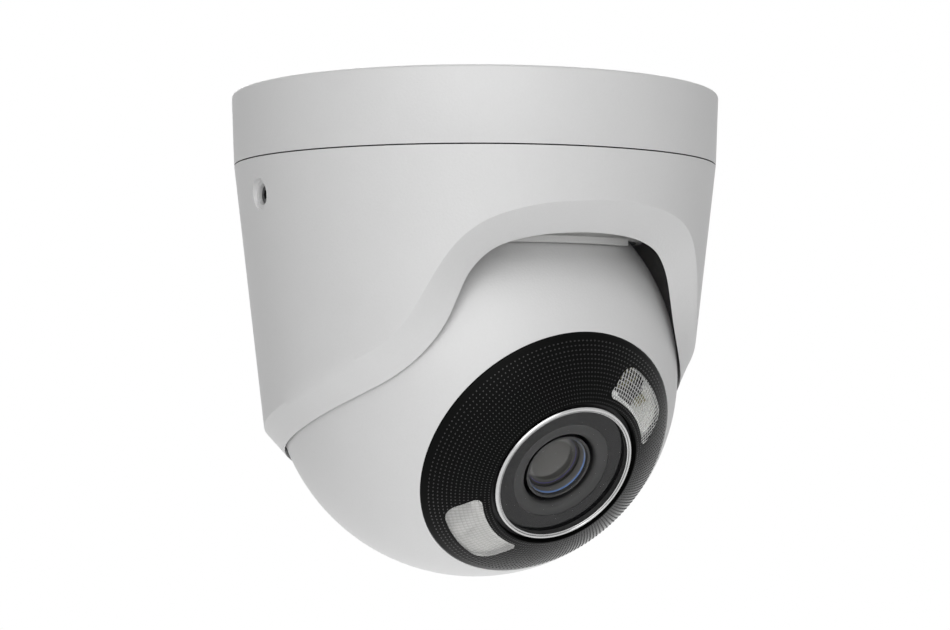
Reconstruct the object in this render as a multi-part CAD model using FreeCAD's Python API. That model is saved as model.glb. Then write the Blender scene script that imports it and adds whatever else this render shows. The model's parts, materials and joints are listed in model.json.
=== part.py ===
import FreeCAD, Part
import math
import os

from FreeCAD import Placement, Rotation, Vector

# Turret security camera, in millimetres.
# The origin is the centre of the face that meets the ceiling, +Z is up and the camera looks along -Y.
# A round base stays on the ceiling, the shroud pans under it, and a ball with the lens tilts and rolls.
# Names in _Z are heights in that frame. Names in _S are measured from the ball's centre along the view.


def section_r(radius, height):
    """Radius of a sphere's section at a height from its centre."""
    return math.sqrt(radius ** 2 - height ** 2)


# ---- clearances ----
SLIP = 0.05                # pieces that are fixed in each other
RUN = 0.1                  # shaft in a hole that turns
SEAL_FIT = 0.12            # O-rings in their grooves
TURN_GAP = 0.3             # faces that pass each other
LEDGE_GAP = 0.4
CUT_REACH = 120.0          # how far a cutting body runs past what it cuts
CUT_OVER = 1.0             # the same, where a neighbouring wall is near

# ---- driving dimensions: ball ----
BALL_R = 45.81
BALL_WALL = 2.4
BALL_GAP = 0.69            # shroud to ball
BALL_DROP = 0.93           # seam to the top of the ball
AIM_DOWN = 29.3            # rest angle of the optical axis below the horizon, degrees
SPLIT_S = -16.0            # parting plane of the ball
OPEN_R = BALL_R + BALL_GAP
SHELL_IN_R = BALL_R - BALL_WALL
SEAT_R = BALL_R + TURN_GAP

# ---- driving dimensions: housing ----
BASE_MARGIN = 8.5          # base beyond the ball's opening
BASE_R = OPEN_R + BASE_MARGIN
BASE_HEIGHT = 15.62        # ceiling to the seam between base and shroud
BASE_DRAFT = 0.54          # radius that the base loses on its height
BASE_FOOT_R = BASE_R - BASE_DRAFT
BASE_WALL = 2.8
BASE_EDGE = 0.8            # bevel of the upper edge
SEAM = 0.25                # shadow gap between base and shroud
SHROUD_TAPER = 0.1151      # radius lost per millimetre of height
BALL_Z = -BASE_HEIGHT - BALL_DROP - BALL_R

# ---- driving dimensions: face ----
FACE_R = 29.88
FACE_EDGE_GAP = 0.12
FACE_RIM = 1.323           # height of the face's outer wall
FACE_DEPTH = section_r(BALL_R, FACE_R) - FACE_RIM
FACE_SKIN = 2.2
FACE_GASKET_THICK = 0.8     # face gasket
FACE_GASKET_INSET = 0.2
SEAT_WIDTH = 2.88          # seat under the edge of the face
BOARD_SEAT_R = FACE_R - SEAT_WIDTH
SHELF_WIDTH = 2.5          # shelf that carries the light board
SHELF_THICK = 2.0
SHELF_ROOT = 2.62          # metal round the face's hole

# ---- driving dimensions: window and lens ----
RING_OUT_R = 16.35
RING_WIDTH = 1.1
RING_IN_R = RING_OUT_R - RING_WIDTH
RING_PROUD = 0.45          # ring beyond the glass
RING_BEVEL = 0.3
GLASS_RECESS = 0.793       # glass behind the ball's surface, at the ring
GLASS_THICK = 1.1
GLASS_FRONT = section_r(BALL_R, RING_OUT_R) - GLASS_RECESS
RING_FRONT = GLASS_FRONT + RING_PROUD
GLASS_BACK = GLASS_FRONT - GLASS_THICK
FACE_BORE_GAP = 0.95       # ring to the bore of the face
FACE_BORE_R = RING_OUT_R + FACE_BORE_GAP
FACE_TUBE_WALL = 1.3
FACE_TUBE_LENGTH = 2.6     # collar of the bore, back from the underside of the face
FACE_TUBE_DEPTH = FACE_DEPTH + FACE_TUBE_LENGTH
MASK_R = 11.4
STEP_DEPTH = 0.9
TUBE_BORE_R = 8.46
TUBE_GAP = 0.2             # lens tube to the bore of the face
BARREL_R = 7.6
BARREL_RECESS = 2.4        # barrel behind the glass
BARREL_FRONT = GLASS_FRONT - BARREL_RECESS
BARREL_HEAD = 6.6          # length of the wide head
BARREL_SHOULDER = BARREL_FRONT - BARREL_HEAD
BARREL_LENGTH = 24.6
BARREL_REAR = BARREL_FRONT - BARREL_LENGTH
BARREL_BORE_R = 4.5
ELEMENT_SEAT = 5.0         # barrel's front to the seat of the front glass
ELEMENT_R = 7.0
THREAD_R = 6.0             # M12 lens thread
RETAINER_IN_R = 6.2
RETAINER_LIP_R = 6.4
RETAINER_FRONT = BARREL_FRONT - 0.7
RETAINER_REAR = BARREL_FRONT - 2.3
# Each glass: radius of its seat, front edge and rear edge behind the barrel's front, curves.
FRONT_ELEMENT = (ELEMENT_R, 2.9, 3.7, 15.0, 24.0)
INNER_ELEMENT = (BARREL_BORE_R, 11.0, 12.6, 10.0, 14.0)
REAR_ELEMENT = (BARREL_BORE_R, 20.6, 22.1, 9.0, 12.0)

# ---- driving dimensions: lights ----
LIGHT_IN_GAP = 1.8         # bore of the face to the lights
LIGHT_OUT_GAP = 3.48       # lights to the edge of the face
LIGHT_IN_R = FACE_BORE_R + LIGHT_IN_GAP
LIGHT_OUT_R = FACE_R - LIGHT_OUT_GAP
LIGHT_HALF_WIDTH = 9.3
LIGHT_OUTER_ROUND = 3.7
LIGHT_INNER_ROUND = 1.2
LIGHT_LEAST_ROUND = 0.3
FILLET_LEFT = 0.1          # straight wall left between two rounds
LIGHT_ANGLES = (45.0, 225.0)
LIGHT_PLATE = 1.8
CUP_WALL = 0.9
CUP_FLOOR = 0.8
LED_SIDE = 3.2
LED_THICK = 1.0
LED_GAP = 0.4
LED_RING_R = (LIGHT_IN_R + LIGHT_OUT_R) / 2 - 0.15
LED_OFFSET = 4.2
LED_PLACES = ((LED_RING_R, LED_OFFSET), (LED_RING_R, -LED_OFFSET))
BOARD_THICK = 1.6
LIGHT_BOARD_DROP = 4.0     # underside of the face to the light board
LIGHT_BOARD_S = FACE_DEPTH - LIGHT_BOARD_DROP
LIGHT_BOARD_BORE_GAP = 0.5
LIGHT_BOARD_RIM_GAP = 0.1
TUBE_REAR = LIGHT_BOARD_S + 2.0

# ---- pan joint ----
SKIRT_MARGIN = 3.7         # skirt beyond the ball's opening
SKIRT_OUT_R = OPEN_R + SKIRT_MARGIN
SKIRT_WALL = 2.5
SKIRT_IN_R = SKIRT_OUT_R - SKIRT_WALL
LEDGE_DROP = 11.38         # seam to the ledge
LEDGE_Z = -BASE_HEIGHT - LEDGE_DROP
LEDGE_THICK = 4.0
LEDGE_WIDTH = 4.5          # ledge inward of the ball's opening
LEDGE_IN_R = OPEN_R - LEDGE_WIDTH
LOCK_DROP = 8.08           # seam to the lock screws
LOCK_ANGLES = (0, 180)
LOCK_Z = -BASE_HEIGHT - LOCK_DROP
LOCK_SCREW_R = 1.95
LOCK_SCREW_LENGTH = 2.5
LOCK_TIP_R = 0.9
LOCK_TIP_LENGTH = 0.8
LOCK_SOCKET_R = 1.15
LOCK_SOCKET_DEPTH = 1.2
LOCK_BORE_R = LOCK_SCREW_R + 0.35
LOCK_SINK_R = LOCK_BORE_R + 1.1
LOCK_SINK_DEPTH = 0.9
LOCK_GROOVE_DEPTH = 1.0
SEAL_DROP = 3.78           # seam to the O-ring of the skirt
SEAL_Z = -BASE_HEIGHT - SEAL_DROP
PAN_SEAL_R = 0.9

# ---- ceiling side ----
PANEL_THICK = 3.0
PANEL_R = BASE_R - BASE_WALL - TURN_GAP
PANEL_CABLE_R = 12.0
FLANGE_THICK = 2.5
WEB_THICK = 2.5
CEILING_PCD = 76.0
CEILING_HOLE_R = 2.25
CEILING_SINK_R = 4.2
CEILING_ANGLES = (45, 135, 225, 315)
GASKET_WIDTH = 2.6         # ceiling gasket
GASKET_OUT_R = PANEL_R - 6.7
GASKET_IN_R = GASKET_OUT_R - GASKET_WIDTH
GASKET_THICK = 1.0
PANEL_SCREW_RING_R = PANEL_R - 3.5
PANEL_SCREW_R = 1.5
PANEL_SCREW_HEAD_R = 2.7
PANEL_SCREW_HEAD = 1.8
PANEL_SCREW_SKIN = 0.8     # panel left above the screw's tip
PANEL_TAP_SKIN = 0.6
PANEL_SCREW_ANGLES = (30, 150, 270)
FLANGE_IN_R = PANEL_SCREW_RING_R - 4.4
CABLE_R = 4.0
GROMMET_FLANGE_R = PANEL_CABLE_R + 3.0
GROMMET_FLANGE_THICK = 3.0

# ---- clamp ring over the ball ----
CLAMP_FLANGE = 2.2
CLAMP_TOP_Z = LEDGE_Z + CLAMP_FLANGE
CLAMP_OUT_R = SKIRT_IN_R - 0.4
CLAMP_WALL = 1.2
CLAMP_DEPTH = 6.0          # wall below the ledge
CLAMP_LOW_Z = LEDGE_Z - CLAMP_DEPTH
CLAMP_BALL_GAP = 1.05
CLAMP_BORE_R = section_r(SEAT_R, CLAMP_LOW_Z - BALL_Z) + CLAMP_BALL_GAP
LIP_THICK = 1.4
LIP_TOP_Z = CLAMP_LOW_Z + 0.1
LIP_LOW_Z = LIP_TOP_Z - LIP_THICK
LIP_ROOT = 0.5             # height that the lip shares with the wall
LIP_PROUD = 0.7
LIP_HALF_ANGLE = 29.0
CLAMP_SCREW_RING_R = OPEN_R - 1.7
CLAMP_SCREW_R = 1.25
CLAMP_SCREW_HEAD_R = 2.2
CLAMP_SCREW_HEAD = 1.5
CLAMP_SCREW_SKIN = 0.8     # ledge left below the screw's tip
CLAMP_TAP_SKIN = 0.6
CLAMP_SCREW_ANGLES = (0, 90, 180, 270)
WEDGE_HEIGHT = 3.5
WEDGE_WIDTH = 6.55
PAD_R = 4.0
PAD_DOWN = 10.0
PAD_THICK = 1.5
PAD_ANGLES = (115.0, 180.0, 245.0)

# ---- joint between the halves of the ball ----
SPIGOT_GAP = 0.453         # spigot to the front shell at the parting plane
SPIGOT_OUT_R = section_r(SHELL_IN_R, SPLIT_S) - SPIGOT_GAP
SPIGOT_WALL = 1.9
SPIGOT_IN_R = SPIGOT_OUT_R - SPIGOT_WALL
SPIGOT_LENGTH = 3.0
SPIGOT_ROOT = 4.0
SHELL_SEAL_R = 0.8
SHELL_SEAL_S = SPLIT_S + 1.2
SHELL_SEAL_RING_R = section_r(SHELL_IN_R, SHELL_SEAL_S) - SHELL_SEAL_R - SEAL_FIT

# ---- boards ----
MAIN_BOARD_S = SPLIT_S + 10.0
MAIN_BOARD_R = SPIGOT_OUT_R - 1.3
POST_RING_R = MAIN_BOARD_R - 2.6
POST_R = 3.2
POST_ANGLES = (45, 135, 225, 315)
SHELL_SCREW_RING_R = MAIN_BOARD_R - 4.0
SHELL_SCREW_R = 1.5
SHELL_SCREW_HEAD_R = 2.5
SHELL_SCREW_SINK_R = 2.65
SHELL_SCREW_HEAD = 2.2
SHELL_SCREW_BITE = 8.0     # thread past the parting plane
SHELL_SOCKET_R = 1.2
SHELL_BOSS_R = 4.2
SHELL_SCREW_HEAD_S = SPLIT_S - 4.0
SHELL_SCREW_ANGLES = (90, 210, 330)
SHELL_POST_R = 3.0
SENSOR_DEPTH = 37.2        # front of the glass to the sensor board
SENSOR_BOARD_S = GLASS_FRONT - SENSOR_DEPTH
SENSOR_BOARD_SIDE = 38.0
SENSOR_LENGTH = 9.6
SENSOR_WIDTH = 8.0
SENSOR_THICK = 1.3
STANDOFF_OFFSET = 15.0
STANDOFF_R = 2.5
STANDOFF_FLOOR = 2.0
BOARD_SCREW_R = 1.2
BOARD_SCREW_HEAD_R = 2.1
BOARD_SCREW_HEAD = 1.4
SENSOR_SCREW_LENGTH = 6.0
POST_SCREW_LENGTH = 7.0
POST_HOLE_DEPTH = 8.0
HEAT_PLATE_S = SPLIT_S + SPIGOT_LENGTH
HEAT_PLATE_THICK = 1.6
HEAT_PLATE_R = SPIGOT_OUT_R + 0.3
HEAT_PLATE_BORE_R = 5.0
POST_PASS = 0.3            # heat plate to the screw posts
CHIP_SIDE = 14.0
CHIP_THICK = 1.4
CHIP_OFFSET = 14.0
PAD_SHEET = 1.0
CARD_OFFSET = -22.0
SOCKET_LENGTH = 14.0
SOCKET_WIDTH = 14.6
SOCKET_HEIGHT = 1.9
SOCKET_WALL = 0.5
CARD_LENGTH = 11.0
CARD_WIDTH = 15.0
CARD_THICK = 0.7
CARD_FIT = 0.2
RIBBON_Y = -22.0
RIBBON_WIDTH = 8.0
RIBBON_THICK = 0.2
PLUG_LENGTH = 10.0
PLUG_WIDTH = 2.8
PLUG_HEIGHT = 2.6
PLUG_FLOOR = 0.6

# ---- filter switch, from the sensor board ----
HOLDER_LENGTH = 26.0
HOLDER_WIDTH = 18.0
HOLDER_TOP = SENSOR_BOARD_S + 8.6
HOLDER_TUBE_TOP = SENSOR_BOARD_S + 15.2
HOLDER_TUBE_R = THREAD_R + 2.0
HOLDER_LIGHT_R = 4.2
LOCK_RING_R = THREAD_R + 2.6
LOCK_RING_THICK = 2.2
SENSOR_ROOM = (12.0, 10.0, 1.9)
FILTER_STROKE = 6.8
CARRIAGE_LENGTH = 15.0
CARRIAGE_WIDTH = 8.6
CARRIAGE_THICK = 0.9
CARRIAGE_GAP = 0.25
CARRIAGE_S = SENSOR_BOARD_S + 4.85
FILTER_SIDE = 6.3
FILTER_LIGHT_SIDE = 5.4
FILTER_SEAT = 0.3
FILTER_THICK = 0.5
COIL_LENGTH = 5.0
COIL_WIDTH = 8.0
COIL_HEIGHT = 5.4

# ---- cable swivel at the back of the ball ----
GLAND_RECESS_R = 9.0
GLAND_SINK = 3.81          # recess floor inward of the ball's surface
GLAND_FLOOR_S = GLAND_SINK - BALL_R
GLAND_BOSS_S = GLAND_FLOOR_S + 3.5
GLAND_BOSS_R = 12.5
GLAND_NECK_R = 5.9
GLAND_BORE_R = 3.2
GLAND_FLANGE_R = 8.4
GLAND_FLANGE_THICK = 2.5
CLIP_R = 7.6
CLIP_THICK = 1.0
CLIP_BITE = 0.5
CLIP_SLOT = 3.0

# ---- opening of the shroud ----
# Azimuth from the front and height, of the outer edge on the cone and of the inner edge at the ball.
# The heights are drawn for the ball below and follow the size and place of the real one.
# The first six pairs are the arch, the next five its feet, and the rest a cut that falls to the rear.
DRAWN_BALL_R = 45.81
DRAWN_BALL_Z = -62.36
OPENING_HALF = (
    ((0.0, -26.5), (0.0, -32.7)),
    ((12.0, -27.1), (11.6, -33.2)),
    ((20.5, -28.4), (19.4, -34.3)),
    ((28.5, -31.0), (26.0, -36.3)),
    ((35.0, -35.5), (30.6, -39.5)),
    ((40.0, -41.6), (33.4, -43.0)),
    ((44.5, -48.0), (36.2, -48.3)),
    ((48.0, -52.0), (38.8, -52.3)),
    ((53.0, -55.5), (43.4, -57.0)),
    ((60.0, -58.6), (51.5, -62.2)),
    ((70.0, -62.4), (64.4, -67.1)),
    ((90.0, -68.7), (87.0, -74.0)),
    ((120.0, -75.8), (118.0, -81.3)),
    ((150.0, -80.8), (150.0, -86.2)),
)
OPENING_REAR = ((180.0, -82.6), (180.0, -87.8))
OPENING_REACH = 0.35       # how far the cut runs on past each edge, as a share of the band
SHROUD_LOW = -95.0         # the turned blank reaches below the lowest point of the opening

TOP = Vector(0, 0, 1)
ORIGIN = Vector(0, 0, 0)


# ---- helpers ----
def polar(radius, angle, height=0.0):
    """Point at an angle in degrees counted from +X."""
    turn = math.radians(angle)
    return Vector(radius * math.cos(turn), radius * math.sin(turn), height)


def turned(points):
    """Solid of revolution about Z from (radius, height) corners."""
    corners = [Vector(r, 0, z) for r, z in points]
    face = Part.Face(Part.makePolygon(corners + corners[:1]))
    return face.revolve(ORIGIN, TOP, 360)


def disc(radius, low, high, centre=ORIGIN):
    """Cylinder along Z between two heights."""
    return Part.makeCylinder(radius, high - low, Vector(centre.x, centre.y, low), TOP)


def ring(inner, outer, low, high):
    """Flat-ended tube along Z."""
    return disc(outer, low, high).cut(disc(inner, low - CUT_OVER, high + CUT_OVER))


def block(length, width, low, high, x=0.0, y=0.0):
    """Box centred on x, y between two heights."""
    corner = Vector(x - length / 2, y - width / 2, low)
    return Part.makeBox(length, width, high - low, corner)


def around(shape, angles):
    """Copies of a shape turned about Z."""
    copies = []
    for angle in angles:
        copy = shape.copy()
        copy.rotate(ORIGIN, TOP, angle)
        copies.append(copy)
    return copies


def group(solids):
    """Like pieces that share one node."""
    return Part.makeCompound(solids)


def ball_at_centre(radius):
    """Sphere about the ball's centre in the housing frame."""
    return Part.makeSphere(radius, Vector(0, 0, BALL_Z))


def aimed(shape):
    """Carries a shape from the optical frame (+Z is the view) to its place in the camera."""
    placed = shape.copy()
    turn = Rotation(Vector(1, 0, 0), 90 + AIM_DOWN)
    placed.Placement = Placement(Vector(0, 0, BALL_Z), turn).multiply(placed.Placement)
    return placed


def cone_r(z):
    """Outer radius of the shroud."""
    return BASE_FOOT_R + (z + BASE_HEIGHT) * SHROUD_TAPER


def opening_r(z):
    """Radius of the shroud's inside where the ball sits."""
    if z > BALL_Z:
        return OPEN_R
    return section_r(OPEN_R, z - BALL_Z)


def drawn_z(height):
    """Height of a drawn point of the opening, for the real ball."""
    return BALL_Z + (height - DRAWN_BALL_Z) * BALL_R / DRAWN_BALL_R


# ---- base, fixed to the ceiling ----
def make_mounting_panel():
    """Steel plate that the four ceiling screws hold."""
    panel = disc(PANEL_R, -PANEL_THICK, 0)
    panel = panel.cut(disc(PANEL_CABLE_R, -PANEL_THICK - CUT_OVER, CUT_OVER))
    panel = panel.cut(ring(GASKET_IN_R - SLIP, GASKET_OUT_R + SLIP, -GASKET_THICK, CUT_OVER))
    sink = Part.makeCone(CEILING_SINK_R, CEILING_HOLE_R, CEILING_SINK_R - CEILING_HOLE_R,
                         Vector(CEILING_PCD / 2, 0, -PANEL_THICK), TOP)
    hole = disc(CEILING_HOLE_R, -PANEL_THICK - CUT_OVER, CUT_OVER, Vector(CEILING_PCD / 2, 0, 0))
    for cut in around(hole.fuse(sink), CEILING_ANGLES):
        panel = panel.cut(cut)
    place = Vector(PANEL_SCREW_RING_R, 0, 0)
    tapped = disc(PANEL_SCREW_R + SLIP, -PANEL_THICK - CUT_OVER, -PANEL_TAP_SKIN, place)
    for cut in around(tapped, PANEL_SCREW_ANGLES):
        panel = panel.cut(cut)
    return panel


def make_ceiling_gasket():
    """Foam ring in the panel's groove."""
    return ring(GASKET_IN_R, GASKET_OUT_R, -GASKET_THICK, 0)


def make_cable_grommet():
    """Rubber bush that the cable leaves through."""
    neck = disc(PANEL_CABLE_R - SLIP, -PANEL_THICK, 0)
    flange = disc(GROMMET_FLANGE_R, -PANEL_THICK - GROMMET_FLANGE_THICK, -PANEL_THICK)
    bore = disc(CABLE_R, -CUT_REACH, CUT_OVER)
    return neck.fuse(flange).cut(bore).removeSplitter()


def make_base_housing():
    """Outer ring of the base, with the skirt that the shroud turns on."""
    flange_low = -PANEL_THICK - FLANGE_THICK
    web_top = -BASE_HEIGHT + WEB_THICK
    skirt_low = LEDGE_Z + LEDGE_GAP
    inside = BASE_FOOT_R - BASE_WALL
    housing = turned([
        (PANEL_R + TURN_GAP, 0), (BASE_R - BASE_EDGE, 0), (BASE_R, -BASE_EDGE),
        (BASE_FOOT_R, -BASE_HEIGHT), (SKIRT_OUT_R, -BASE_HEIGHT), (SKIRT_OUT_R, skirt_low),
        (SKIRT_IN_R, skirt_low), (SKIRT_IN_R, web_top), (inside, web_top), (inside, flange_low),
        (FLANGE_IN_R, flange_low), (FLANGE_IN_R, -PANEL_THICK), (PANEL_R + TURN_GAP, -PANEL_THICK)])
    groove_half = LOCK_SCREW_R + TURN_GAP
    lock_groove = ring(SKIRT_OUT_R - LOCK_GROOVE_DEPTH, SKIRT_OUT_R + CUT_OVER,
                       LOCK_Z - groove_half, LOCK_Z + groove_half)
    seal_half = PAN_SEAL_R + SEAL_FIT
    seal_groove = ring(SKIRT_OUT_R - PAN_SEAL_R - seal_half, SKIRT_OUT_R + CUT_OVER,
                       SEAL_Z - seal_half, SEAL_Z + seal_half)
    screw_hole = disc(PANEL_SCREW_R + SLIP, flange_low - CUT_OVER, CUT_OVER, Vector(PANEL_SCREW_RING_R, 0, 0))
    housing = housing.cut(lock_groove).cut(seal_groove)
    for cut in around(screw_hole, PANEL_SCREW_ANGLES):
        housing = housing.cut(cut)
    return housing


def make_pan_seal():
    """O-ring in the skirt, against rain that runs into the seam."""
    return Part.makeTorus(SKIRT_OUT_R - PAN_SEAL_R, PAN_SEAL_R, Vector(0, 0, SEAL_Z), TOP)


def cross_drive(length, width, low, high, x):
    """Cross-shaped recess of a screw head."""
    return block(length, width, low, high, x).fuse(block(width, length, low, high, x))


def make_panel_screws():
    """Three screws that hold the housing to the panel."""
    flange_low = -PANEL_THICK - FLANGE_THICK
    place = Vector(PANEL_SCREW_RING_R, 0, 0)
    head = disc(PANEL_SCREW_HEAD_R, flange_low - PANEL_SCREW_HEAD, flange_low, place)
    shank = disc(PANEL_SCREW_R, flange_low, -PANEL_SCREW_SKIN, place)
    drive_low = flange_low - PANEL_SCREW_HEAD - CUT_OVER
    drive = cross_drive(3.0, 0.7, drive_low, flange_low - 1.0, PANEL_SCREW_RING_R)
    return group(around(head.fuse(shank).cut(drive), PANEL_SCREW_ANGLES))


# ---- shroud and what turns with it ----
def edge_point(radius_at, azimuth, height):
    """Point of one edge of the opening; azimuth 0 is the front, -Y."""
    z = drawn_z(height)
    return polar(radius_at(z), azimuth - 90, z)


def opening_edges():
    """Closed rows of points, for the two edges of the cut, each run on past its surface."""
    left = [((-outer[0], outer[1]), (-inner[0], inner[1])) for outer, inner in OPENING_HALF[:0:-1]]
    pairs = list(OPENING_HALF) + [OPENING_REAR] + left
    outer_row = []
    inner_row = []
    for outer, inner in pairs:
        out_point = edge_point(cone_r, *outer)
        in_point = edge_point(opening_r, *inner)
        band = out_point - in_point
        outer_row.append(out_point + band * OPENING_REACH)
        inner_row.append(in_point - band * OPENING_REACH)
    return outer_row, inner_row


def closed_curve(points):
    """Smooth closed edge with one knot at each point, so that two such edges pair up."""
    knots = [float(number) for number in range(len(points) + 1)]
    curve = Part.BSplineCurve()
    curve.interpolate(Points=points, PeriodicFlag=True, Parameters=knots)
    return curve.toShape()


def opening_cutter():
    """Ring-shaped body under the band between the two edges of the opening."""
    outer_row, inner_row = opening_edges()
    floor = drawn_z(SHROUD_LOW) - 10 * CUT_OVER
    outer_edge = closed_curve(outer_row)
    inner_edge = closed_curve(inner_row)
    outer_foot = closed_curve([Vector(p.x, p.y, floor) for p in outer_row])
    inner_foot = closed_curve([Vector(p.x, p.y, floor) for p in inner_row])
    faces = [Part.makeRuledSurface(outer_edge, inner_edge),
             Part.makeRuledSurface(outer_edge, outer_foot),
             Part.makeRuledSurface(inner_edge, inner_foot),
             Part.makeRuledSurface(outer_foot, inner_foot)]
    shell = Part.makeShell([face for band in faces for face in band.Faces])
    shell.sewShape()
    solid = Part.Solid(Part.Shell(shell.Faces))
    solid.fixTolerance(1e-4)
    if solid.Volume < 0:
        solid.reverse()
    return solid


def sideways_cylinder(radius, start, end):
    """Cylinder along X at the height of the lock screws."""
    return Part.makeCylinder(radius, end - start, Vector(start, 0, LOCK_Z), Vector(1, 0, 0))


def make_shroud():
    """Tapered cover, open in an arch in front of the ball and cut down to the rear."""
    top = -BASE_HEIGHT - SEAM
    low = drawn_z(SHROUD_LOW)
    core_r = OPEN_R / 2
    skirt_room = SKIRT_OUT_R + TURN_GAP
    ledge_low = LEDGE_Z - LEDGE_THICK
    body = turned([
        (skirt_room, top), (cone_r(top), top), (cone_r(low), low),
        (core_r, low), (core_r, BALL_Z), (OPEN_R, BALL_Z), (OPEN_R, ledge_low),
        (LEDGE_IN_R, ledge_low), (LEDGE_IN_R, LEDGE_Z), (skirt_room, LEDGE_Z)])
    body = body.cut(ball_at_centre(OPEN_R)).cut(opening_cutter())
    # The cut leaves a loose slug under the ball, which is thrown away.
    body = max(body.Solids, key=lambda solid: solid.Volume)
    bore = sideways_cylinder(LOCK_BORE_R, SKIRT_OUT_R, SKIRT_OUT_R + CUT_REACH)
    sink = sideways_cylinder(LOCK_SINK_R, cone_r(LOCK_Z) - LOCK_SINK_DEPTH, SKIRT_OUT_R + CUT_REACH)
    for cut in around(bore.fuse(sink), LOCK_ANGLES):
        body = body.cut(cut)
    for angle in PAD_ANGLES:
        body = body.cut(pad_cylinder(PAD_R + SLIP, OPEN_R - 2 * CUT_OVER, SEAT_R + PAD_THICK + SLIP, angle))
    place = Vector(CLAMP_SCREW_RING_R, 0, 0)
    hole = disc(CLAMP_SCREW_R + SLIP, ledge_low + CLAMP_TAP_SKIN, LEDGE_Z + CUT_OVER, place)
    for cut in around(hole, CLAMP_SCREW_ANGLES):
        body = body.cut(cut)
    return body


def pad_cylinder(radius, start, end, azimuth):
    """Short round body on a line through the ball's centre, below its middle."""
    direction = polar(math.cos(math.radians(PAD_DOWN)), azimuth - 90, -math.sin(math.radians(PAD_DOWN)))
    return Part.makeCylinder(radius, end - start, Vector(0, 0, BALL_Z) + direction * start, direction)


def make_friction_pads():
    """Three low-friction pads in the shroud that the ball leans on."""
    pads = []
    for angle in PAD_ANGLES:
        pad = pad_cylinder(PAD_R, SEAT_R - CUT_OVER, SEAT_R + PAD_THICK, angle)
        pads.append(pad.cut(ball_at_centre(SEAT_R)))
    return group(pads)


def make_lock_screws():
    """Two grub screws that lock the pan, with hexagon sockets."""
    start = SKIRT_OUT_R - LOCK_GROOVE_DEPTH + TURN_GAP
    end = start + LOCK_SCREW_LENGTH
    cone = Part.makeCone(LOCK_TIP_R, LOCK_SCREW_R, LOCK_TIP_LENGTH, Vector(start, 0, LOCK_Z), Vector(1, 0, 0))
    body = sideways_cylinder(LOCK_SCREW_R, start + LOCK_TIP_LENGTH, end)
    corners = []
    for angle in range(0, 360, 60):
        across = polar(LOCK_SOCKET_R, angle)
        corners.append(Vector(end - LOCK_SOCKET_DEPTH, across.x, LOCK_Z + across.y))
    socket = Part.Face(Part.makePolygon(corners + corners[:1])).extrude(Vector(LOCK_SCREW_LENGTH, 0, 0))
    return group(around(cone.fuse(body).cut(socket), LOCK_ANGLES))


def make_clamp_ring():
    """Ring on the shroud's ledge that keeps the ball down, with a lip across the arch."""
    wall_r = CLAMP_BORE_R + CLAMP_WALL
    flange = ring(CLAMP_BORE_R, CLAMP_OUT_R, LEDGE_Z, CLAMP_TOP_Z)
    wall = ring(CLAMP_BORE_R, wall_r, CLAMP_LOW_Z, LEDGE_Z)
    lip = turned([
        (CLAMP_BORE_R, LIP_LOW_Z), (wall_r + LIP_PROUD, LIP_LOW_Z), (wall_r + LIP_PROUD, LIP_TOP_Z),
        (wall_r, LIP_TOP_Z), (wall_r, CLAMP_LOW_Z + LIP_ROOT), (CLAMP_BORE_R, CLAMP_LOW_Z + LIP_ROOT)])
    corners = [ORIGIN, polar(CUT_REACH, -90 - LIP_HALF_ANGLE), polar(CUT_REACH, -90 + LIP_HALF_ANGLE)]
    front = Part.Face(Part.makePolygon(corners + corners[:1])).extrude(Vector(0, 0, -CUT_REACH))
    body = flange.fuse(wall).fuse(lip.common(front)).removeSplitter()
    place = Vector(CLAMP_SCREW_RING_R, 0, 0)
    hole = disc(CLAMP_SCREW_R + SLIP, LEDGE_Z - CUT_OVER, CLAMP_TOP_Z + CUT_OVER, place)
    for cut in around(hole, CLAMP_SCREW_ANGLES):
        body = body.cut(cut)
    return body.cut(ball_at_centre(SEAT_R))


def make_clamp_screws():
    """Four screws through the clamp ring into the ledge."""
    place = Vector(CLAMP_SCREW_RING_R, 0, 0)
    head = disc(CLAMP_SCREW_HEAD_R, CLAMP_TOP_Z, CLAMP_TOP_Z + CLAMP_SCREW_HEAD, place)
    shank = disc(CLAMP_SCREW_R, LEDGE_Z - LEDGE_THICK + CLAMP_SCREW_SKIN, CLAMP_TOP_Z, place)
    drive_floor = CLAMP_TOP_Z + 0.6
    drive = cross_drive(2.6, 0.6, drive_floor, drive_floor + CLAMP_SCREW_HEAD, CLAMP_SCREW_RING_R)
    return group(around(head.fuse(shank).cut(drive), CLAMP_SCREW_ANGLES))


def make_friction_ring():
    """Silicone wedge ring in the clamp ring, against the top of the ball."""
    outer_r = CLAMP_BORE_R - SLIP
    wedge = ring(outer_r - WEDGE_WIDTH, outer_r, CLAMP_LOW_Z, CLAMP_LOW_Z + WEDGE_HEIGHT)
    return wedge.cut(ball_at_centre(SEAT_R))


# ---- cable swivel, which tilts with the ball and does not roll ----
def make_cable_swivel():
    """Bush in the back of the ball that the cable comes out of."""
    flange_front = GLAND_FLOOR_S - SLIP
    flange = disc(GLAND_FLANGE_R, flange_front - GLAND_FLANGE_THICK, flange_front)
    neck = disc(GLAND_NECK_R, flange_front, GLAND_BOSS_S + CLIP_THICK + 0.6)
    bore = disc(GLAND_BORE_R, -CUT_REACH, 0)
    clip_groove = ring(GLAND_NECK_R - CLIP_BITE, GLAND_NECK_R + CUT_OVER, GLAND_BOSS_S + SLIP,
                       GLAND_BOSS_S + SLIP + CLIP_THICK + SLIP)
    return aimed(flange.fuse(neck).cut(bore).cut(clip_groove).removeSplitter())


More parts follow.
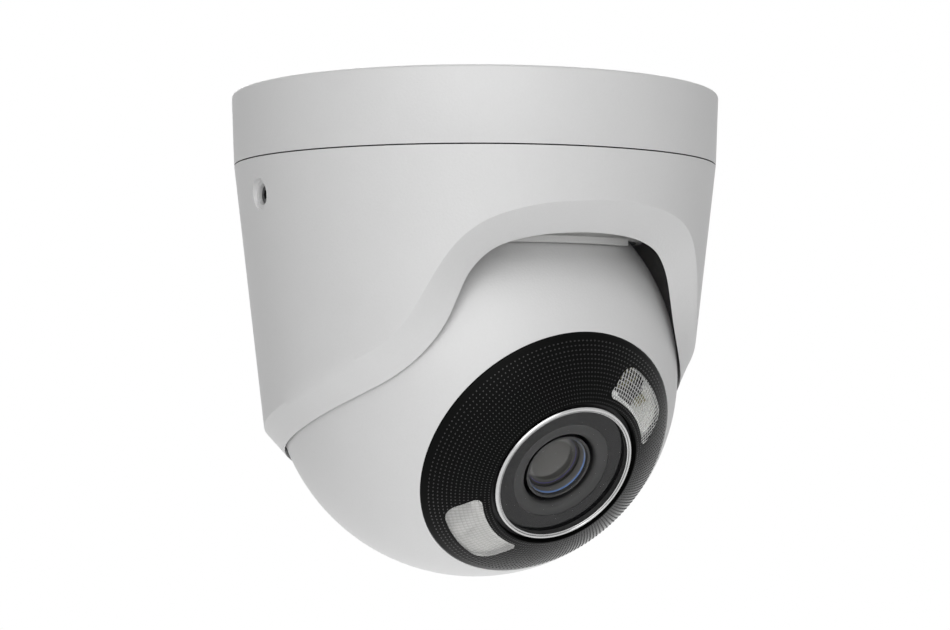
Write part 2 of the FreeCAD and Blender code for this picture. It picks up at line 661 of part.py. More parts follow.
def make_swivel_clip():
    """Open spring clip that keeps the bush in the ball."""
    low = GLAND_BOSS_S + 1.5 * SLIP
    clip = ring(GLAND_NECK_R - CLIP_BITE + SLIP, CLIP_R, low, low + CLIP_THICK)
    mouth = block(CLIP_SLOT, 2 * CLIP_R, low - CUT_OVER, low + CLIP_THICK + CUT_OVER, 0, CLIP_R)
    return aimed(clip.cut(mouth))


# ---- ball ----
def make_front_shell():
    """Larger half of the ball, with the seat for the face and the posts for the boards."""
    board_top = MAIN_BOARD_S + BOARD_THICK
    front = FACE_DEPTH + CUT_REACH
    shelf_r = FACE_R + SHELF_ROOT
    body = Part.makeSphere(BALL_R).cut(Part.makeSphere(SHELL_IN_R))
    wall_room = Part.makeSphere(SHELL_IN_R + CUT_OVER)
    shelf = disc(shelf_r + 1.5, LIGHT_BOARD_S - SHELF_THICK, LIGHT_BOARD_S).common(wall_room)
    body = body.fuse(disc(shelf_r, LIGHT_BOARD_S, BALL_R).common(wall_room)).fuse(shelf)
    inside = Part.makeSphere(SHELL_IN_R + CUT_OVER / 2)
    for angle in POST_ANGLES:
        post = disc(POST_R, board_top, BALL_R, polar(POST_RING_R, angle))
        body = body.fuse(post.common(inside))
    for angle in SHELL_SCREW_ANGLES:
        post = disc(SHELL_POST_R, SPLIT_S + SLIP, BALL_R, polar(SHELL_SCREW_RING_R, angle))
        body = body.fuse(post.common(inside))
    body = body.cut(disc(FACE_R + FACE_EDGE_GAP, FACE_DEPTH - FACE_GASKET_THICK, front))
    body = body.cut(disc(BOARD_SEAT_R, LIGHT_BOARD_S, front))
    body = body.cut(disc(BOARD_SEAT_R - SHELF_WIDTH, LIGHT_BOARD_S - SHELF_THICK, front))
    body = body.cut(block(CUT_REACH, CUT_REACH, SPLIT_S - CUT_REACH, SPLIT_S))
    for angle in POST_ANGLES:
        place = polar(POST_RING_R, angle)
        body = body.cut(disc(BOARD_SCREW_R + SLIP, SPLIT_S - CUT_OVER, board_top + POST_HOLE_DEPTH, place))
    for angle in SHELL_SCREW_ANGLES:
        place = polar(SHELL_SCREW_RING_R, angle)
        depth = SHELL_SCREW_BITE + CUT_OVER
        body = body.cut(disc(SHELL_SCREW_R + SLIP, SPLIT_S - CUT_OVER, SPLIT_S + depth, place))
    return aimed(body.removeSplitter())


def make_rear_shell():
    """Back of the ball, with a spigot for the seal and a recess for the cable swivel."""
    body = Part.makeSphere(BALL_R).cut(Part.makeSphere(SHELL_IN_R))
    inside = Part.makeSphere(SHELL_IN_R + CUT_OVER / 2)
    body = body.fuse(disc(GLAND_BOSS_R, -BALL_R, GLAND_BOSS_S).common(inside))
    for angle in SHELL_SCREW_ANGLES:
        boss = disc(SHELL_BOSS_R, -BALL_R, SPLIT_S - SLIP, polar(SHELL_SCREW_RING_R, angle))
        body = body.fuse(boss.common(inside))
    body = body.cut(block(CUT_REACH, CUT_REACH, SPLIT_S - SLIP, SPLIT_S + CUT_REACH))
    rim = ring(SPIGOT_IN_R, SPIGOT_OUT_R, SPLIT_S - SPIGOT_ROOT, HEAT_PLATE_S)
    body = body.fuse(rim.common(Part.makeSphere(BALL_R - CUT_OVER)))
    seal_half = SHELL_SEAL_R + SEAL_FIT
    body = body.cut(ring(SHELL_SEAL_RING_R - seal_half, SPIGOT_OUT_R + CUT_OVER,
                         SHELL_SEAL_S - seal_half, SHELL_SEAL_S + seal_half))
    body = body.cut(disc(GLAND_RECESS_R, -CUT_REACH, GLAND_FLOOR_S))
    body = body.cut(disc(GLAND_NECK_R + RUN, -CUT_REACH, 0))
    for angle in SHELL_SCREW_ANGLES:
        place = polar(SHELL_SCREW_RING_R, angle)
        body = body.cut(disc(SHELL_SCREW_R + SLIP, -CUT_REACH, 0, place))
        body = body.cut(disc(SHELL_SCREW_SINK_R, -CUT_REACH, SHELL_SCREW_HEAD_S, place))
    return aimed(body.removeSplitter())


def make_shell_seal():
    """O-ring between the two halves of the ball."""
    return aimed(Part.makeTorus(SHELL_SEAL_RING_R, SHELL_SEAL_R, Vector(0, 0, SHELL_SEAL_S), TOP))


def make_shell_screws():
    """Three screws from the back that hold the ball together."""
    place = Vector(SHELL_SCREW_RING_R, 0, 0)
    back = SHELL_SCREW_HEAD_S - SHELL_SCREW_HEAD
    head = disc(SHELL_SCREW_HEAD_R, back, SHELL_SCREW_HEAD_S, place)
    shank = disc(SHELL_SCREW_R, SHELL_SCREW_HEAD_S, SPLIT_S + SHELL_SCREW_BITE, place)
    socket = disc(SHELL_SOCKET_R, back - CUT_OVER, back + 1.2, place)
    return aimed(group(around(head.fuse(shank).cut(socket), SHELL_SCREW_ANGLES)))


def light_outline(inset, low, high):
    """Prism of one light window: a piece of a ring with straight ends and rounded corners."""
    band = ring(LIGHT_IN_R + inset, LIGHT_OUT_R - inset, low, high)
    width = 2 * (LIGHT_HALF_WIDTH - inset)
    strip = block(LIGHT_OUT_R, width, low - CUT_OVER, high + CUT_OVER, LIGHT_OUT_R / 2 + SHELF_WIDTH)
    piece = band.common(strip)
    inner_round = max(LIGHT_INNER_ROUND - inset, LIGHT_LEAST_ROUND)
    room = LIGHT_OUT_R - LIGHT_IN_R - 2 * inset - inner_round
    outer_round = min(LIGHT_OUTER_ROUND - inset, room - FILLET_LEFT)
    piece = piece.makeFillet(outer_round, upright_edges(piece, LIGHT_OUT_R - inset))
    return piece.makeFillet(inner_round, upright_edges(piece, LIGHT_IN_R + inset))


def upright_edges(shape, radius):
    """Edges along Z at a distance from it."""
    found = []
    for edge in shape.Edges:
        start = edge.Vertexes[0].Point
        end = edge.Vertexes[-1].Point
        is_upright = math.hypot(start.x - end.x, start.y - end.y) < 0.01 and abs(start.z - end.z) > 1
        if is_upright and abs(math.hypot(start.x, start.y) - radius) < 0.01:
            found.append(edge)
    return found


def make_face_bezel():
    """Black cover of the face, flush with the ball, open for the lens and the two lights."""
    collar_r = FACE_BORE_R + FACE_TUBE_WALL
    body = Part.makeSphere(BALL_R).common(disc(FACE_R, FACE_DEPTH, BALL_R))
    hollow = Part.makeSphere(BALL_R - FACE_SKIN).common(disc(BOARD_SEAT_R, 0, BALL_R))
    body = body.cut(hollow.cut(disc(collar_r, 0, BALL_R)))
    collar = ring(FACE_BORE_R, collar_r, FACE_TUBE_DEPTH, BALL_R + CUT_OVER)
    body = body.cut(disc(collar_r, 0, BALL_R + CUT_OVER))
    body = body.fuse(collar.common(Part.makeSphere(BALL_R)))
    for cut in around(light_outline(0, LIGHT_BOARD_S, BALL_R + CUT_OVER), LIGHT_ANGLES):
        body = body.cut(cut)
    return aimed(body.removeSplitter())


def make_face_gasket():
    """Flat gasket under the rim of the face."""
    low = FACE_DEPTH - FACE_GASKET_THICK
    return aimed(ring(BOARD_SEAT_R + FACE_GASKET_INSET, FACE_R - FACE_GASKET_INSET, low, FACE_DEPTH))


def make_light_windows():
    """Two clear plates, flush with the face."""
    plate = light_outline(SLIP, LIGHT_BOARD_S, BALL_R + CUT_OVER).common(Part.makeSphere(BALL_R))
    plate = plate.cut(Part.makeSphere(BALL_R - LIGHT_PLATE))
    return aimed(group(around(plate, LIGHT_ANGLES)))


def make_light_reflectors():
    """White cups behind the light windows."""
    floor = LIGHT_BOARD_S + BOARD_THICK
    under_plate = Part.makeSphere(BALL_R - LIGHT_PLATE - SLIP)
    cup = light_outline(2 * SLIP, floor, BALL_R).common(under_plate)
    cup = cup.cut(light_outline(CUP_WALL, floor + CUP_FLOOR, BALL_R + CUT_OVER))
    hole_side = LED_SIDE + LED_GAP
    for place in LED_PLACES:
        cup = cup.cut(block(hole_side, hole_side, floor - CUT_OVER, floor + CUP_FLOOR + CUT_OVER, *place))
    return aimed(group(around(cup, LIGHT_ANGLES)))


def make_light_leds():
    """Four light chips, an infrared and a white one in each cup."""
    low = LIGHT_BOARD_S + BOARD_THICK
    chips = []
    for place in LED_PLACES:
        chips += around(block(LED_SIDE, LED_SIDE, low, low + LED_THICK, *place), LIGHT_ANGLES)
    return aimed(group(chips))


def make_light_board():
    """Ring-shaped board under the face that carries the lights."""
    bore_r = FACE_BORE_R + LIGHT_BOARD_BORE_GAP
    rim_r = BOARD_SEAT_R - LIGHT_BOARD_RIM_GAP
    return aimed(ring(bore_r, rim_r, LIGHT_BOARD_S, LIGHT_BOARD_S + BOARD_THICK))


# ---- window and lens ----
def make_window_ring():
    """Polished metal ring round the front glass."""
    inner_bevel = RING_BEVEL / 2
    return aimed(turned([
        (RING_IN_R, GLASS_BACK), (RING_OUT_R, GLASS_BACK), (RING_OUT_R, RING_FRONT - RING_BEVEL),
        (RING_OUT_R - RING_BEVEL, RING_FRONT), (RING_IN_R + inner_bevel, RING_FRONT),
        (RING_IN_R, RING_FRONT - inner_bevel)]))


def make_window_glass():
    """Front glass, printed black outside the lens."""
    return aimed(disc(RING_IN_R - SLIP, GLASS_BACK, GLASS_FRONT))


def make_lens_tube():
    """Black tube between the glass and the light board that keeps stray light off the lens."""
    step = GLASS_BACK - STEP_DEPTH
    outer_r = FACE_BORE_R - TUBE_GAP
    return aimed(turned([
        (MASK_R, GLASS_BACK), (outer_r, GLASS_BACK), (outer_r, TUBE_REAR),
        (TUBE_BORE_R, TUBE_REAR), (TUBE_BORE_R, step), (MASK_R, step)]))


def make_lens_barrel():
    """Threaded lens body."""
    seat = BARREL_FRONT - ELEMENT_SEAT
    return aimed(turned([
        (ELEMENT_R, BARREL_FRONT), (BARREL_R, BARREL_FRONT), (BARREL_R, BARREL_SHOULDER),
        (THREAD_R, BARREL_SHOULDER), (THREAD_R, BARREL_REAR), (BARREL_BORE_R, BARREL_REAR),
        (BARREL_BORE_R, seat), (ELEMENT_R, seat)]))


def lens_element(seat_r, front_depth, rear_depth, front_curve, rear_curve):
    """Round glass with a bulging front and rear."""
    radius = seat_r - SLIP
    edge_high = BARREL_FRONT - front_depth
    edge_low = BARREL_FRONT - rear_depth
    body = disc(radius, edge_low - seat_r, edge_high + seat_r)
    front = Part.makeSphere(front_curve, Vector(0, 0, edge_high - section_r(front_curve, radius)))
    rear = Part.makeSphere(rear_curve, Vector(0, 0, edge_low + section_r(rear_curve, radius)))
    return body.common(front).common(rear)


def make_front_element():
    """Front glass of the lens."""
    return aimed(lens_element(*FRONT_ELEMENT))


def make_inner_element():
    """Middle glass of the lens."""
    return aimed(lens_element(*INNER_ELEMENT))


def make_rear_element():
    """Rear glass of the lens."""
    return aimed(lens_element(*REAR_ELEMENT))


def make_lens_retainer():
    """Threaded ring that holds the front glass in the barrel."""
    outer_r = ELEMENT_R - SLIP
    return aimed(turned([
        (RETAINER_IN_R, RETAINER_FRONT), (outer_r, RETAINER_FRONT), (outer_r, RETAINER_REAR),
        (RETAINER_LIP_R, RETAINER_REAR)]))


def make_lens_lock_ring():
    """Knurled ring that locks the focus."""
    return aimed(ring(THREAD_R + SLIP, LOCK_RING_R, HOLDER_TUBE_TOP, HOLDER_TUBE_TOP + LOCK_RING_THICK))


def make_lens_holder():
    """Square mount on the sensor board, with the room for the filter carriage."""
    low = SENSOR_BOARD_S + BOARD_THICK
    body = block(HOLDER_LENGTH, HOLDER_WIDTH, low, HOLDER_TOP)
    body = body.fuse(disc(HOLDER_TUBE_R, HOLDER_TOP, HOLDER_TUBE_TOP))
    room_length, room_width, room_height = SENSOR_ROOM
    body = body.cut(disc(THREAD_R + SLIP, HOLDER_TOP - CUT_OVER, HOLDER_TUBE_TOP + CUT_OVER))
    body = body.cut(disc(HOLDER_LIGHT_R, low - CUT_OVER, HOLDER_TOP + CUT_OVER))
    body = body.cut(block(room_length, room_width, low - CUT_OVER, low + room_height))
    slot_length = CARRIAGE_LENGTH + FILTER_STROKE + 4 * CARRIAGE_GAP
    slot_low = CARRIAGE_S - CARRIAGE_GAP
    slot_high = CARRIAGE_S + CARRIAGE_THICK + CARRIAGE_GAP
    slot = block(slot_length, CARRIAGE_WIDTH + TURN_GAP, slot_low, slot_high)
    return aimed(body.cut(slot).removeSplitter())


def make_filter_carriage():
    """Sliding frame with the day filter and the night window."""
    centre = -FILTER_STROKE / 2
    body = block(CARRIAGE_LENGTH, CARRIAGE_WIDTH, CARRIAGE_S, CARRIAGE_S + CARRIAGE_THICK, centre)
    side = FILTER_LIGHT_SIDE
    above = CARRIAGE_S + CARRIAGE_THICK + CUT_OVER
    for x in (0.0, -FILTER_STROKE):
        body = body.cut(block(FILTER_SIDE, FILTER_SIDE, CARRIAGE_S + FILTER_SEAT, above, x))
        body = body.cut(block(side, side, CARRIAGE_S - CUT_OVER, above, x))
    return aimed(body)


def make_filter_glasses():
    """Infrared filter and clear glass of the carriage."""
    low = CARRIAGE_S + FILTER_SEAT
    side = FILTER_SIDE - 2 * SLIP
    return aimed(group([block(side, side, low, low + FILTER_THICK, x) for x in (0.0, -FILTER_STROKE)]))


def make_filter_coil():
    """Coil that throws the filter carriage."""
    low = SENSOR_BOARD_S + BOARD_THICK
    centre = HOLDER_LENGTH / 2 + COIL_LENGTH / 2
    body = block(COIL_LENGTH, COIL_WIDTH, low, low + COIL_HEIGHT, centre)
    core = block(COIL_LENGTH - 2.0, COIL_WIDTH / 5, low + 1.5, low + COIL_HEIGHT + CUT_OVER, centre)
    return aimed(body.cut(core))


# ---- electronics ----
def make_sensor_board():
    """Small board behind the lens."""
    side = SENSOR_BOARD_SIDE
    body = block(side, side, SENSOR_BOARD_S, SENSOR_BOARD_S + BOARD_THICK)
    for x, y in board_corners():
        low = SENSOR_BOARD_S - CUT_OVER
        body = body.cut(disc(BOARD_SCREW_R + SLIP, low, low + BOARD_THICK + 2 * CUT_OVER, Vector(x, y, 0)))
    return aimed(body)


def board_corners():
    """Four screw places of the sensor board."""
    near = STANDOFF_OFFSET
    return [(near, near), (-near, near), (-near, -near), (near, -near)]


def make_image_sensor():
    """Image sensor under the filter."""
    low = SENSOR_BOARD_S + BOARD_THICK
    return aimed(block(SENSOR_LENGTH, SENSOR_WIDTH, low, low + SENSOR_THICK))


def make_board_standoffs():
    """Four pillars between the two boards."""
    low = MAIN_BOARD_S + BOARD_THICK
    pillars = []
    for x, y in board_corners():
        place = Vector(x, y, 0)
        pillar = disc(STANDOFF_R, low, SENSOR_BOARD_S, place)
        hole = disc(BOARD_SCREW_R + SLIP, low + STANDOFF_FLOOR, SENSOR_BOARD_S + CUT_OVER, place)
        pillars.append(pillar.cut(hole))
    return aimed(group(pillars))


def board_screw(x, y, seat, direction, length):
    """Small screw whose head sits on a board, on the side that direction points to."""
    back = seat + direction * BOARD_SCREW_HEAD
    head = disc(BOARD_SCREW_HEAD_R, min(seat, back), max(seat, back), Vector(x, y, 0))
    tip = seat - direction * length
    shank = disc(BOARD_SCREW_R, min(seat, tip), max(seat, tip), Vector(x, y, 0))
    slot_from = seat + direction * BOARD_SCREW_HEAD / 2
    slot_to = back + direction * CUT_OVER
    slot = block(3.0, 0.6, min(slot_from, slot_to), max(slot_from, slot_to), x, y)
    return head.fuse(shank).cut(slot)


def make_sensor_board_screws():
    """Four screws into the pillars."""
    seat = SENSOR_BOARD_S + BOARD_THICK
    return aimed(group([board_screw(x, y, seat, 1, SENSOR_SCREW_LENGTH) for x, y in board_corners()]))


def make_main_board():
    """Round processor board across the ball."""
    body = disc(MAIN_BOARD_R, MAIN_BOARD_S, MAIN_BOARD_S + BOARD_THICK)
    low = MAIN_BOARD_S - CUT_OVER
    high = MAIN_BOARD_S + BOARD_THICK + CUT_OVER
    for angle in POST_ANGLES:
        body = body.cut(disc(BOARD_SCREW_R + SLIP, low, high, polar(POST_RING_R, angle)))
    for angle in SHELL_SCREW_ANGLES:
        body = body.cut(disc(SHELL_POST_R + LEDGE_GAP, low, high, polar(SHELL_SCREW_RING_R, angle)))
    return aimed(body)


def make_main_board_screws():
    """Four screws into the posts of the front shell."""
    places = [polar(POST_RING_R, angle) for angle in POST_ANGLES]
    screws = [board_screw(place.x, place.y, MAIN_BOARD_S, -1, POST_SCREW_LENGTH) for place in places]
    return aimed(group(screws))


def make_processor():
    """Processor on the back of the main board."""
    return aimed(block(CHIP_SIDE, CHIP_SIDE, MAIN_BOARD_S - CHIP_THICK, MAIN_BOARD_S, CHIP_OFFSET))


def make_thermal_pad():
    """Soft sheet between the processor and the heat spreader."""
    top = MAIN_BOARD_S - CHIP_THICK
    return aimed(block(CHIP_SIDE, CHIP_SIDE, top - PAD_SHEET, top, CHIP_OFFSET))


def make_heat_spreader():
    """Aluminium plate that carries the heat to the shell."""
    top = MAIN_BOARD_S - CHIP_THICK - PAD_SHEET
    body = disc(HEAT_PLATE_R, HEAT_PLATE_S, HEAT_PLATE_S + HEAT_PLATE_THICK)
    body = body.fuse(block(CHIP_SIDE + 2, CHIP_SIDE + 2, HEAT_PLATE_S, top, CHIP_OFFSET))
    low = HEAT_PLATE_S - CUT_OVER
    body = body.cut(disc(HEAT_PLATE_BORE_R, low, top + CUT_OVER))
    for angle in SHELL_SCREW_ANGLES:
        body = body.cut(disc(SHELL_POST_R + POST_PASS, low, top + CUT_OVER, polar(SHELL_SCREW_RING_R, angle)))
    return aimed(body.removeSplitter())


def make_card_socket():
    """Metal socket for the memory card, on the front of the main board."""
    low = MAIN_BOARD_S + BOARD_THICK
    body = block(SOCKET_LENGTH, SOCKET_WIDTH, low, low + SOCKET_HEIGHT, CARD_OFFSET)
    slot_low = low + SOCKET_WALL
    slot = block(CARD_LENGTH + 2 * CARD_FIT, SOCKET_WIDTH, slot_low, slot_low + CARD_THICK + CARD_FIT,
                 CARD_OFFSET, -2 * SOCKET_WALL)
    return aimed(body.cut(slot))


def make_memory_card():
    """Memory card in its socket."""
    low = MAIN_BOARD_S + BOARD_THICK + SOCKET_WALL + CARD_FIT / 2
    overhang = (CARD_WIDTH - SOCKET_WIDTH) / 2 + 2 * SOCKET_WALL + 2 * CARD_FIT
    return aimed(block(CARD_LENGTH, CARD_WIDTH, low, low + CARD_THICK, CARD_OFFSET, -overhang))


def make_ribbon_sockets():
    """Sockets of the light ribbon, on the main board and under the light board."""
    low = MAIN_BOARD_S + BOARD_THICK
    rear = block(PLUG_LENGTH, PLUG_WIDTH, low, low + PLUG_HEIGHT, 0, RIBBON_Y)
    front = block(PLUG_LENGTH, PLUG_WIDTH, LIGHT_BOARD_S - PLUG_HEIGHT, LIGHT_BOARD_S, 0, RIBBON_Y)
    slot = block(RIBBON_WIDTH + CARD_FIT, 2 * RIBBON_THICK, low + PLUG_FLOOR, LIGHT_BOARD_S - PLUG_FLOOR,
                 0, RIBBON_Y)
    return aimed(group([rear.cut(slot), front.cut(slot)]))


def make_light_ribbon():
    """Flat cable from the main board to the light board."""
    low = MAIN_BOARD_S + BOARD_THICK + PLUG_FLOOR + RUN
    high = LIGHT_BOARD_S - PLUG_FLOOR - RUN
    return aimed(block(RIBBON_WIDTH, RIBBON_THICK, low, high, 0, RIBBON_Y))


NODES = {
    "mounting_panel": make_mounting_panel,
    "ceiling_gasket": make_ceiling_gasket,
    "cable_grommet": make_cable_grommet,
    "base_housing": make_base_housing,
    "panel_screws": make_panel_screws,
    "pan_seal": make_pan_seal,
    "shroud": make_shroud,
    "lock_screws": make_lock_screws,
    "clamp_ring": make_clamp_ring,
    "clamp_screws": make_clamp_screws,
    "friction_ring": make_friction_ring,
    "friction_pads": make_friction_pads,
    "cable_swivel": make_cable_swivel,
    "swivel_clip": make_swivel_clip,
    "front_shell": make_front_shell,
    "rear_shell": make_rear_shell,
    "shell_seal": make_shell_seal,
    "shell_screws": make_shell_screws,
    "face_bezel": make_face_bezel,
    "face_gasket": make_face_gasket,
    "light_windows": make_light_windows,
    "light_reflectors": make_light_reflectors,
    "light_leds": make_light_leds,
    "light_board": make_light_board,
    "window_ring": make_window_ring,
    "window_glass": make_window_glass,
    "lens_tube": make_lens_tube,
    "lens_barrel": make_lens_barrel,
    "front_element": make_front_element,
    "inner_element": make_inner_element,
    "rear_element": make_rear_element,
    "lens_retainer": make_lens_retainer,
    "lens_lock_ring": make_lens_lock_ring,
    "lens_holder": make_lens_holder,
    "filter_carriage": make_filter_carriage,
    "filter_glasses": make_filter_glasses,
    "filter_coil": make_filter_coil,
    "sensor_board": make_sensor_board,
    "image_sensor": make_image_sensor,
    "board_standoffs": make_board_standoffs,
    "sensor_board_screws": make_sensor_board_screws,
    "main_board": make_main_board,
    "main_board_screws": make_main_board_screws,
    "processor": make_processor,
    "thermal_pad": make_thermal_pad,
    "heat_spreader": make_heat_spreader,
    "card_socket": make_card_socket,
    "memory_card": make_memory_card,
    "ribbon_sockets": make_ribbon_sockets,
    "light_ribbon": make_light_ribbon,
}

os.makedirs("parts", exist_ok=True)
for name, make in NODES.items():
    shape = make()
    shape.exportStep("parts/" + name + ".step")
    print(name, len(shape.Solids), round(shape.Volume, 1), shape.isValid())
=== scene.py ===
import bpy
import bmesh
import json
import math
import numpy as np
from mathutils import Matrix, Vector


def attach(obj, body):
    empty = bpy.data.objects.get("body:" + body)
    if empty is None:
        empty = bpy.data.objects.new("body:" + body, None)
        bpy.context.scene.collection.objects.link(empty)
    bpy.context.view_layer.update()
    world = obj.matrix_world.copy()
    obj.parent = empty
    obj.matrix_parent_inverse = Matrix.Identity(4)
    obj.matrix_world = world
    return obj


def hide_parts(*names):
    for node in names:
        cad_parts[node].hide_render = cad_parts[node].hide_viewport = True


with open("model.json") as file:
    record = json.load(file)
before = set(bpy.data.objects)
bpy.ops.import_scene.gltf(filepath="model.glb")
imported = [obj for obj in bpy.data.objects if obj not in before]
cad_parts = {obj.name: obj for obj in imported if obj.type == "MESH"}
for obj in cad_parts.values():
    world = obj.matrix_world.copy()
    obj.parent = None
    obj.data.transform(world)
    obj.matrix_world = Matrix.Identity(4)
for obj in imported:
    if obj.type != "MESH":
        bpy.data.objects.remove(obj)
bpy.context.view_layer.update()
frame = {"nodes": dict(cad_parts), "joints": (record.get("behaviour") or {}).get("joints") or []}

nodes = frame["nodes"]
MM = 0.001

# --------------------------------------------------
# Base housing. The fixed upper ring of the camera: die-cast aluminium with fine textured, light
# grey powder paint outside. Below the seam the skirt and the foot's underside are painted near
# black: painted shade, so that the narrow seam reads dark. Three screws hold it to the steel panel.
# --------------------------------------------------
LATHE_STEPS = 288
SHARP_ANGLE = math.radians(34)
GRAIN_SCALE, CLOUD_SCALE, FINE_SHARE = 2600.0, 60.0, 0.45
LOW_STOP, HIGH_STOP, GLOSS_SWING, HAZE_SWING = 0.3, 0.7, 0.07, 0.4


def object_coordinates(tree):
    """Texture coordinates in metres, fixed to the piece."""
    return tree.nodes.new("ShaderNodeTexCoord").outputs["Object"]


def math_node(tree, operation, first, second=None):
    """One step of arithmetic between sockets or numbers."""
    node = tree.nodes.new("ShaderNodeMath")
    node.operation = operation
    for slot, value in zip(node.inputs, (first, second)):
        if value is None:
            continue
        if isinstance(value, (int, float)):
            slot.default_value = value
        else:
            tree.links.new(value, slot)
    return node.outputs[0]


def make_surface_group():
    """Fine grain and slow cloudiness that every moulded or painted surface shares."""
    group = bpy.data.node_groups.new("surface_grain", "ShaderNodeTree")
    group.interface.new_socket("Vector", in_out="INPUT", socket_type="NodeSocketVector")
    for label, value in (("Grain", GRAIN_SCALE), ("Cloud", CLOUD_SCALE)):
        socket = group.interface.new_socket(label, in_out="INPUT", socket_type="NodeSocketFloat")
        socket.default_value = value
    for label in ("Height", "Mottle"):
        group.interface.new_socket(label, in_out="OUTPUT", socket_type="NodeSocketFloat")
    entry = group.nodes.new("NodeGroupInput")
    leave = group.nodes.new("NodeGroupOutput")
    grain = group.nodes.new("ShaderNodeTexNoise")
    grain.inputs["Detail"].default_value = 2.5
    grain.inputs["Roughness"].default_value = 0.6
    cloud = group.nodes.new("ShaderNodeTexNoise")
    cloud.inputs["Detail"].default_value = 3.0
    for noise, scale in ((grain, "Grain"), (cloud, "Cloud")):
        group.links.new(entry.outputs["Vector"], noise.inputs["Vector"])
        group.links.new(entry.outputs[scale], noise.inputs["Scale"])
    group.links.new(grain.outputs["Fac"], leave.inputs["Height"])
    fine = math_node(group, "MULTIPLY", grain.outputs["Fac"], FINE_SHARE)
    slow = math_node(group, "MULTIPLY", cloud.outputs["Fac"], 1 - FINE_SHARE)
    group.links.new(math_node(group, "ADD", fine, slow), leave.inputs["Mottle"])
    return group


surface_group = make_surface_group()


def ramp_between(tree, factor, stops):
    """Colour or grey ramp from (position, colour) stops."""
    ramp = tree.nodes.new("ShaderNodeValToRGB")
    while len(ramp.color_ramp.elements) < len(stops):
        ramp.color_ramp.elements.new(0.5)
    for element, (position, colour) in zip(ramp.color_ramp.elements, stops):
        element.position = position
        element.color = (*colour, 1.0)
    tree.links.new(factor, ramp.inputs["Fac"])
    return ramp.outputs["Color"]


def shade(colour, factor):
    """Colour made lighter or darker."""
    return tuple(min(1.0, channel * factor) for channel in colour)


def new_material(name):
    """Material, its node tree and its Principled shader."""
    material = bpy.data.materials.new(name)
    material.use_nodes = True
    return material, material.node_tree, material.node_tree.nodes["Principled BSDF"]


def surface_pattern(tree, grain=GRAIN_SCALE):
    """Places the shared grain in a material."""
    pattern = tree.nodes.new("ShaderNodeGroup")
    pattern.node_tree = surface_group
    pattern.inputs["Grain"].default_value = grain
    tree.links.new(object_coordinates(tree), pattern.inputs["Vector"])
    return pattern


def mottle_input(tree, pattern, colour, swing, socket):
    """Lets a shader input drift about a colour or grey with the cloudiness."""
    stops = ((LOW_STOP, shade(colour, 1 - swing)), (HIGH_STOP, shade(colour, 1 + swing)))
    tree.links.new(ramp_between(tree, pattern.outputs["Mottle"], stops), socket)


def grained_material(name, colour, roughness, grain=GRAIN_SCALE, relief=0.03, depth=0.02, metallic=0.0,
                     mottle=0.03, shine=0.5):
    """Painted, moulded or cast finish: grain in relief, with faint mottling of colour and gloss."""
    material, tree, shader = new_material(name)
    shader.inputs["Metallic"].default_value = metallic
    shader.inputs["Specular IOR Level"].default_value = shine
    pattern = surface_pattern(tree, grain)
    mottle_input(tree, pattern, colour, mottle, shader.inputs["Base Color"])
    mottle_input(tree, pattern, (roughness,) * 3, GLOSS_SWING, shader.inputs["Roughness"])
    bump = tree.nodes.new("ShaderNodeBump")
    bump.inputs["Strength"].default_value = relief
    bump.inputs["Distance"].default_value = depth * MM
    tree.links.new(pattern.outputs["Height"], bump.inputs["Height"])
    tree.links.new(bump.outputs["Normal"], shader.inputs["Normal"])
    return material


housing_paint = grained_material("housing_paint", (0.70, 0.70, 0.70), 0.5, grain=2000.0, relief=1.0,
                                 depth=0.035, mottle=0.02, shine=1.0)


def lathe(profile, steps=LATHE_STEPS):
    """Closed turned body about Z from (radius, height) corners in millimetres."""
    bm = bmesh.new()
    corners = [bm.verts.new((r * MM, 0, z * MM)) for r, z in profile]
    rim = [bm.edges.new((a, b)) for a, b in zip(corners, corners[1:] + corners[:1])]
    bmesh.ops.spin(bm, geom=corners + rim, cent=(0, 0, 0), axis=(0, 0, 1), angle=2 * math.pi,
                   steps=steps, use_merge=True, use_duplicate=False)
    bmesh.ops.remove_doubles(bm, verts=bm.verts, dist=1e-7)
    bmesh.ops.recalc_face_normals(bm, faces=bm.faces)
    return bm


def arc(radius, start, end, count, centre=(0.0, 0.0)):
    """Points on an arc in the profile plane, angles in degrees from the radius direction."""
    angles = np.radians(np.linspace(start, end, count))
    return [(centre[0] + radius * math.cos(a), centre[1] + radius * math.sin(a)) for a in angles]


def soften(bm, width, segments=3, angle=28.0):
    """Rounds every edge that is sharper than the angle."""
    limit = math.radians(angle)
    sharp = [edge for edge in bm.edges if edge.is_manifold and edge.calc_face_angle(0) > limit]
    bmesh.ops.bevel(bm, geom=sharp, offset=width * MM, offset_type="OFFSET", affect="EDGES",
                    segments=segments, profile=0.5, material=-1, clamp_overlap=True)


def new_object(name, data):
    """Object at the origin, in the scene."""
    made = bpy.data.objects.new(name, data)
    bpy.context.scene.collection.objects.link(made)
    return made


def add_piece(name, bm, material, body, stands_for=(), place=None):
    """Makes a smooth-shaded object from a bmesh and hangs it on its CAD body."""
    if place is not None:
        bmesh.ops.transform(bm, matrix=place, verts=bm.verts)
    for face in bm.faces:
        face.smooth = True
    mesh = bpy.data.meshes.new(name)
    bm.to_mesh(mesh)
    bm.free()
    mesh.set_sharp_from_angle(angle=SHARP_ANGLE)
    mesh.materials.append(material)
    piece = new_object(name, mesh)
    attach(piece, body)
    if stands_for:
        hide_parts(*stands_for)
    return piece


def paint_faces(piece, material, picked):
    """Gives one more material to the faces that the test picks."""
    piece.data.materials.append(material)
    for face in piece.data.polygons:
        if picked(face):
            face.material_index = len(piece.data.materials) - 1


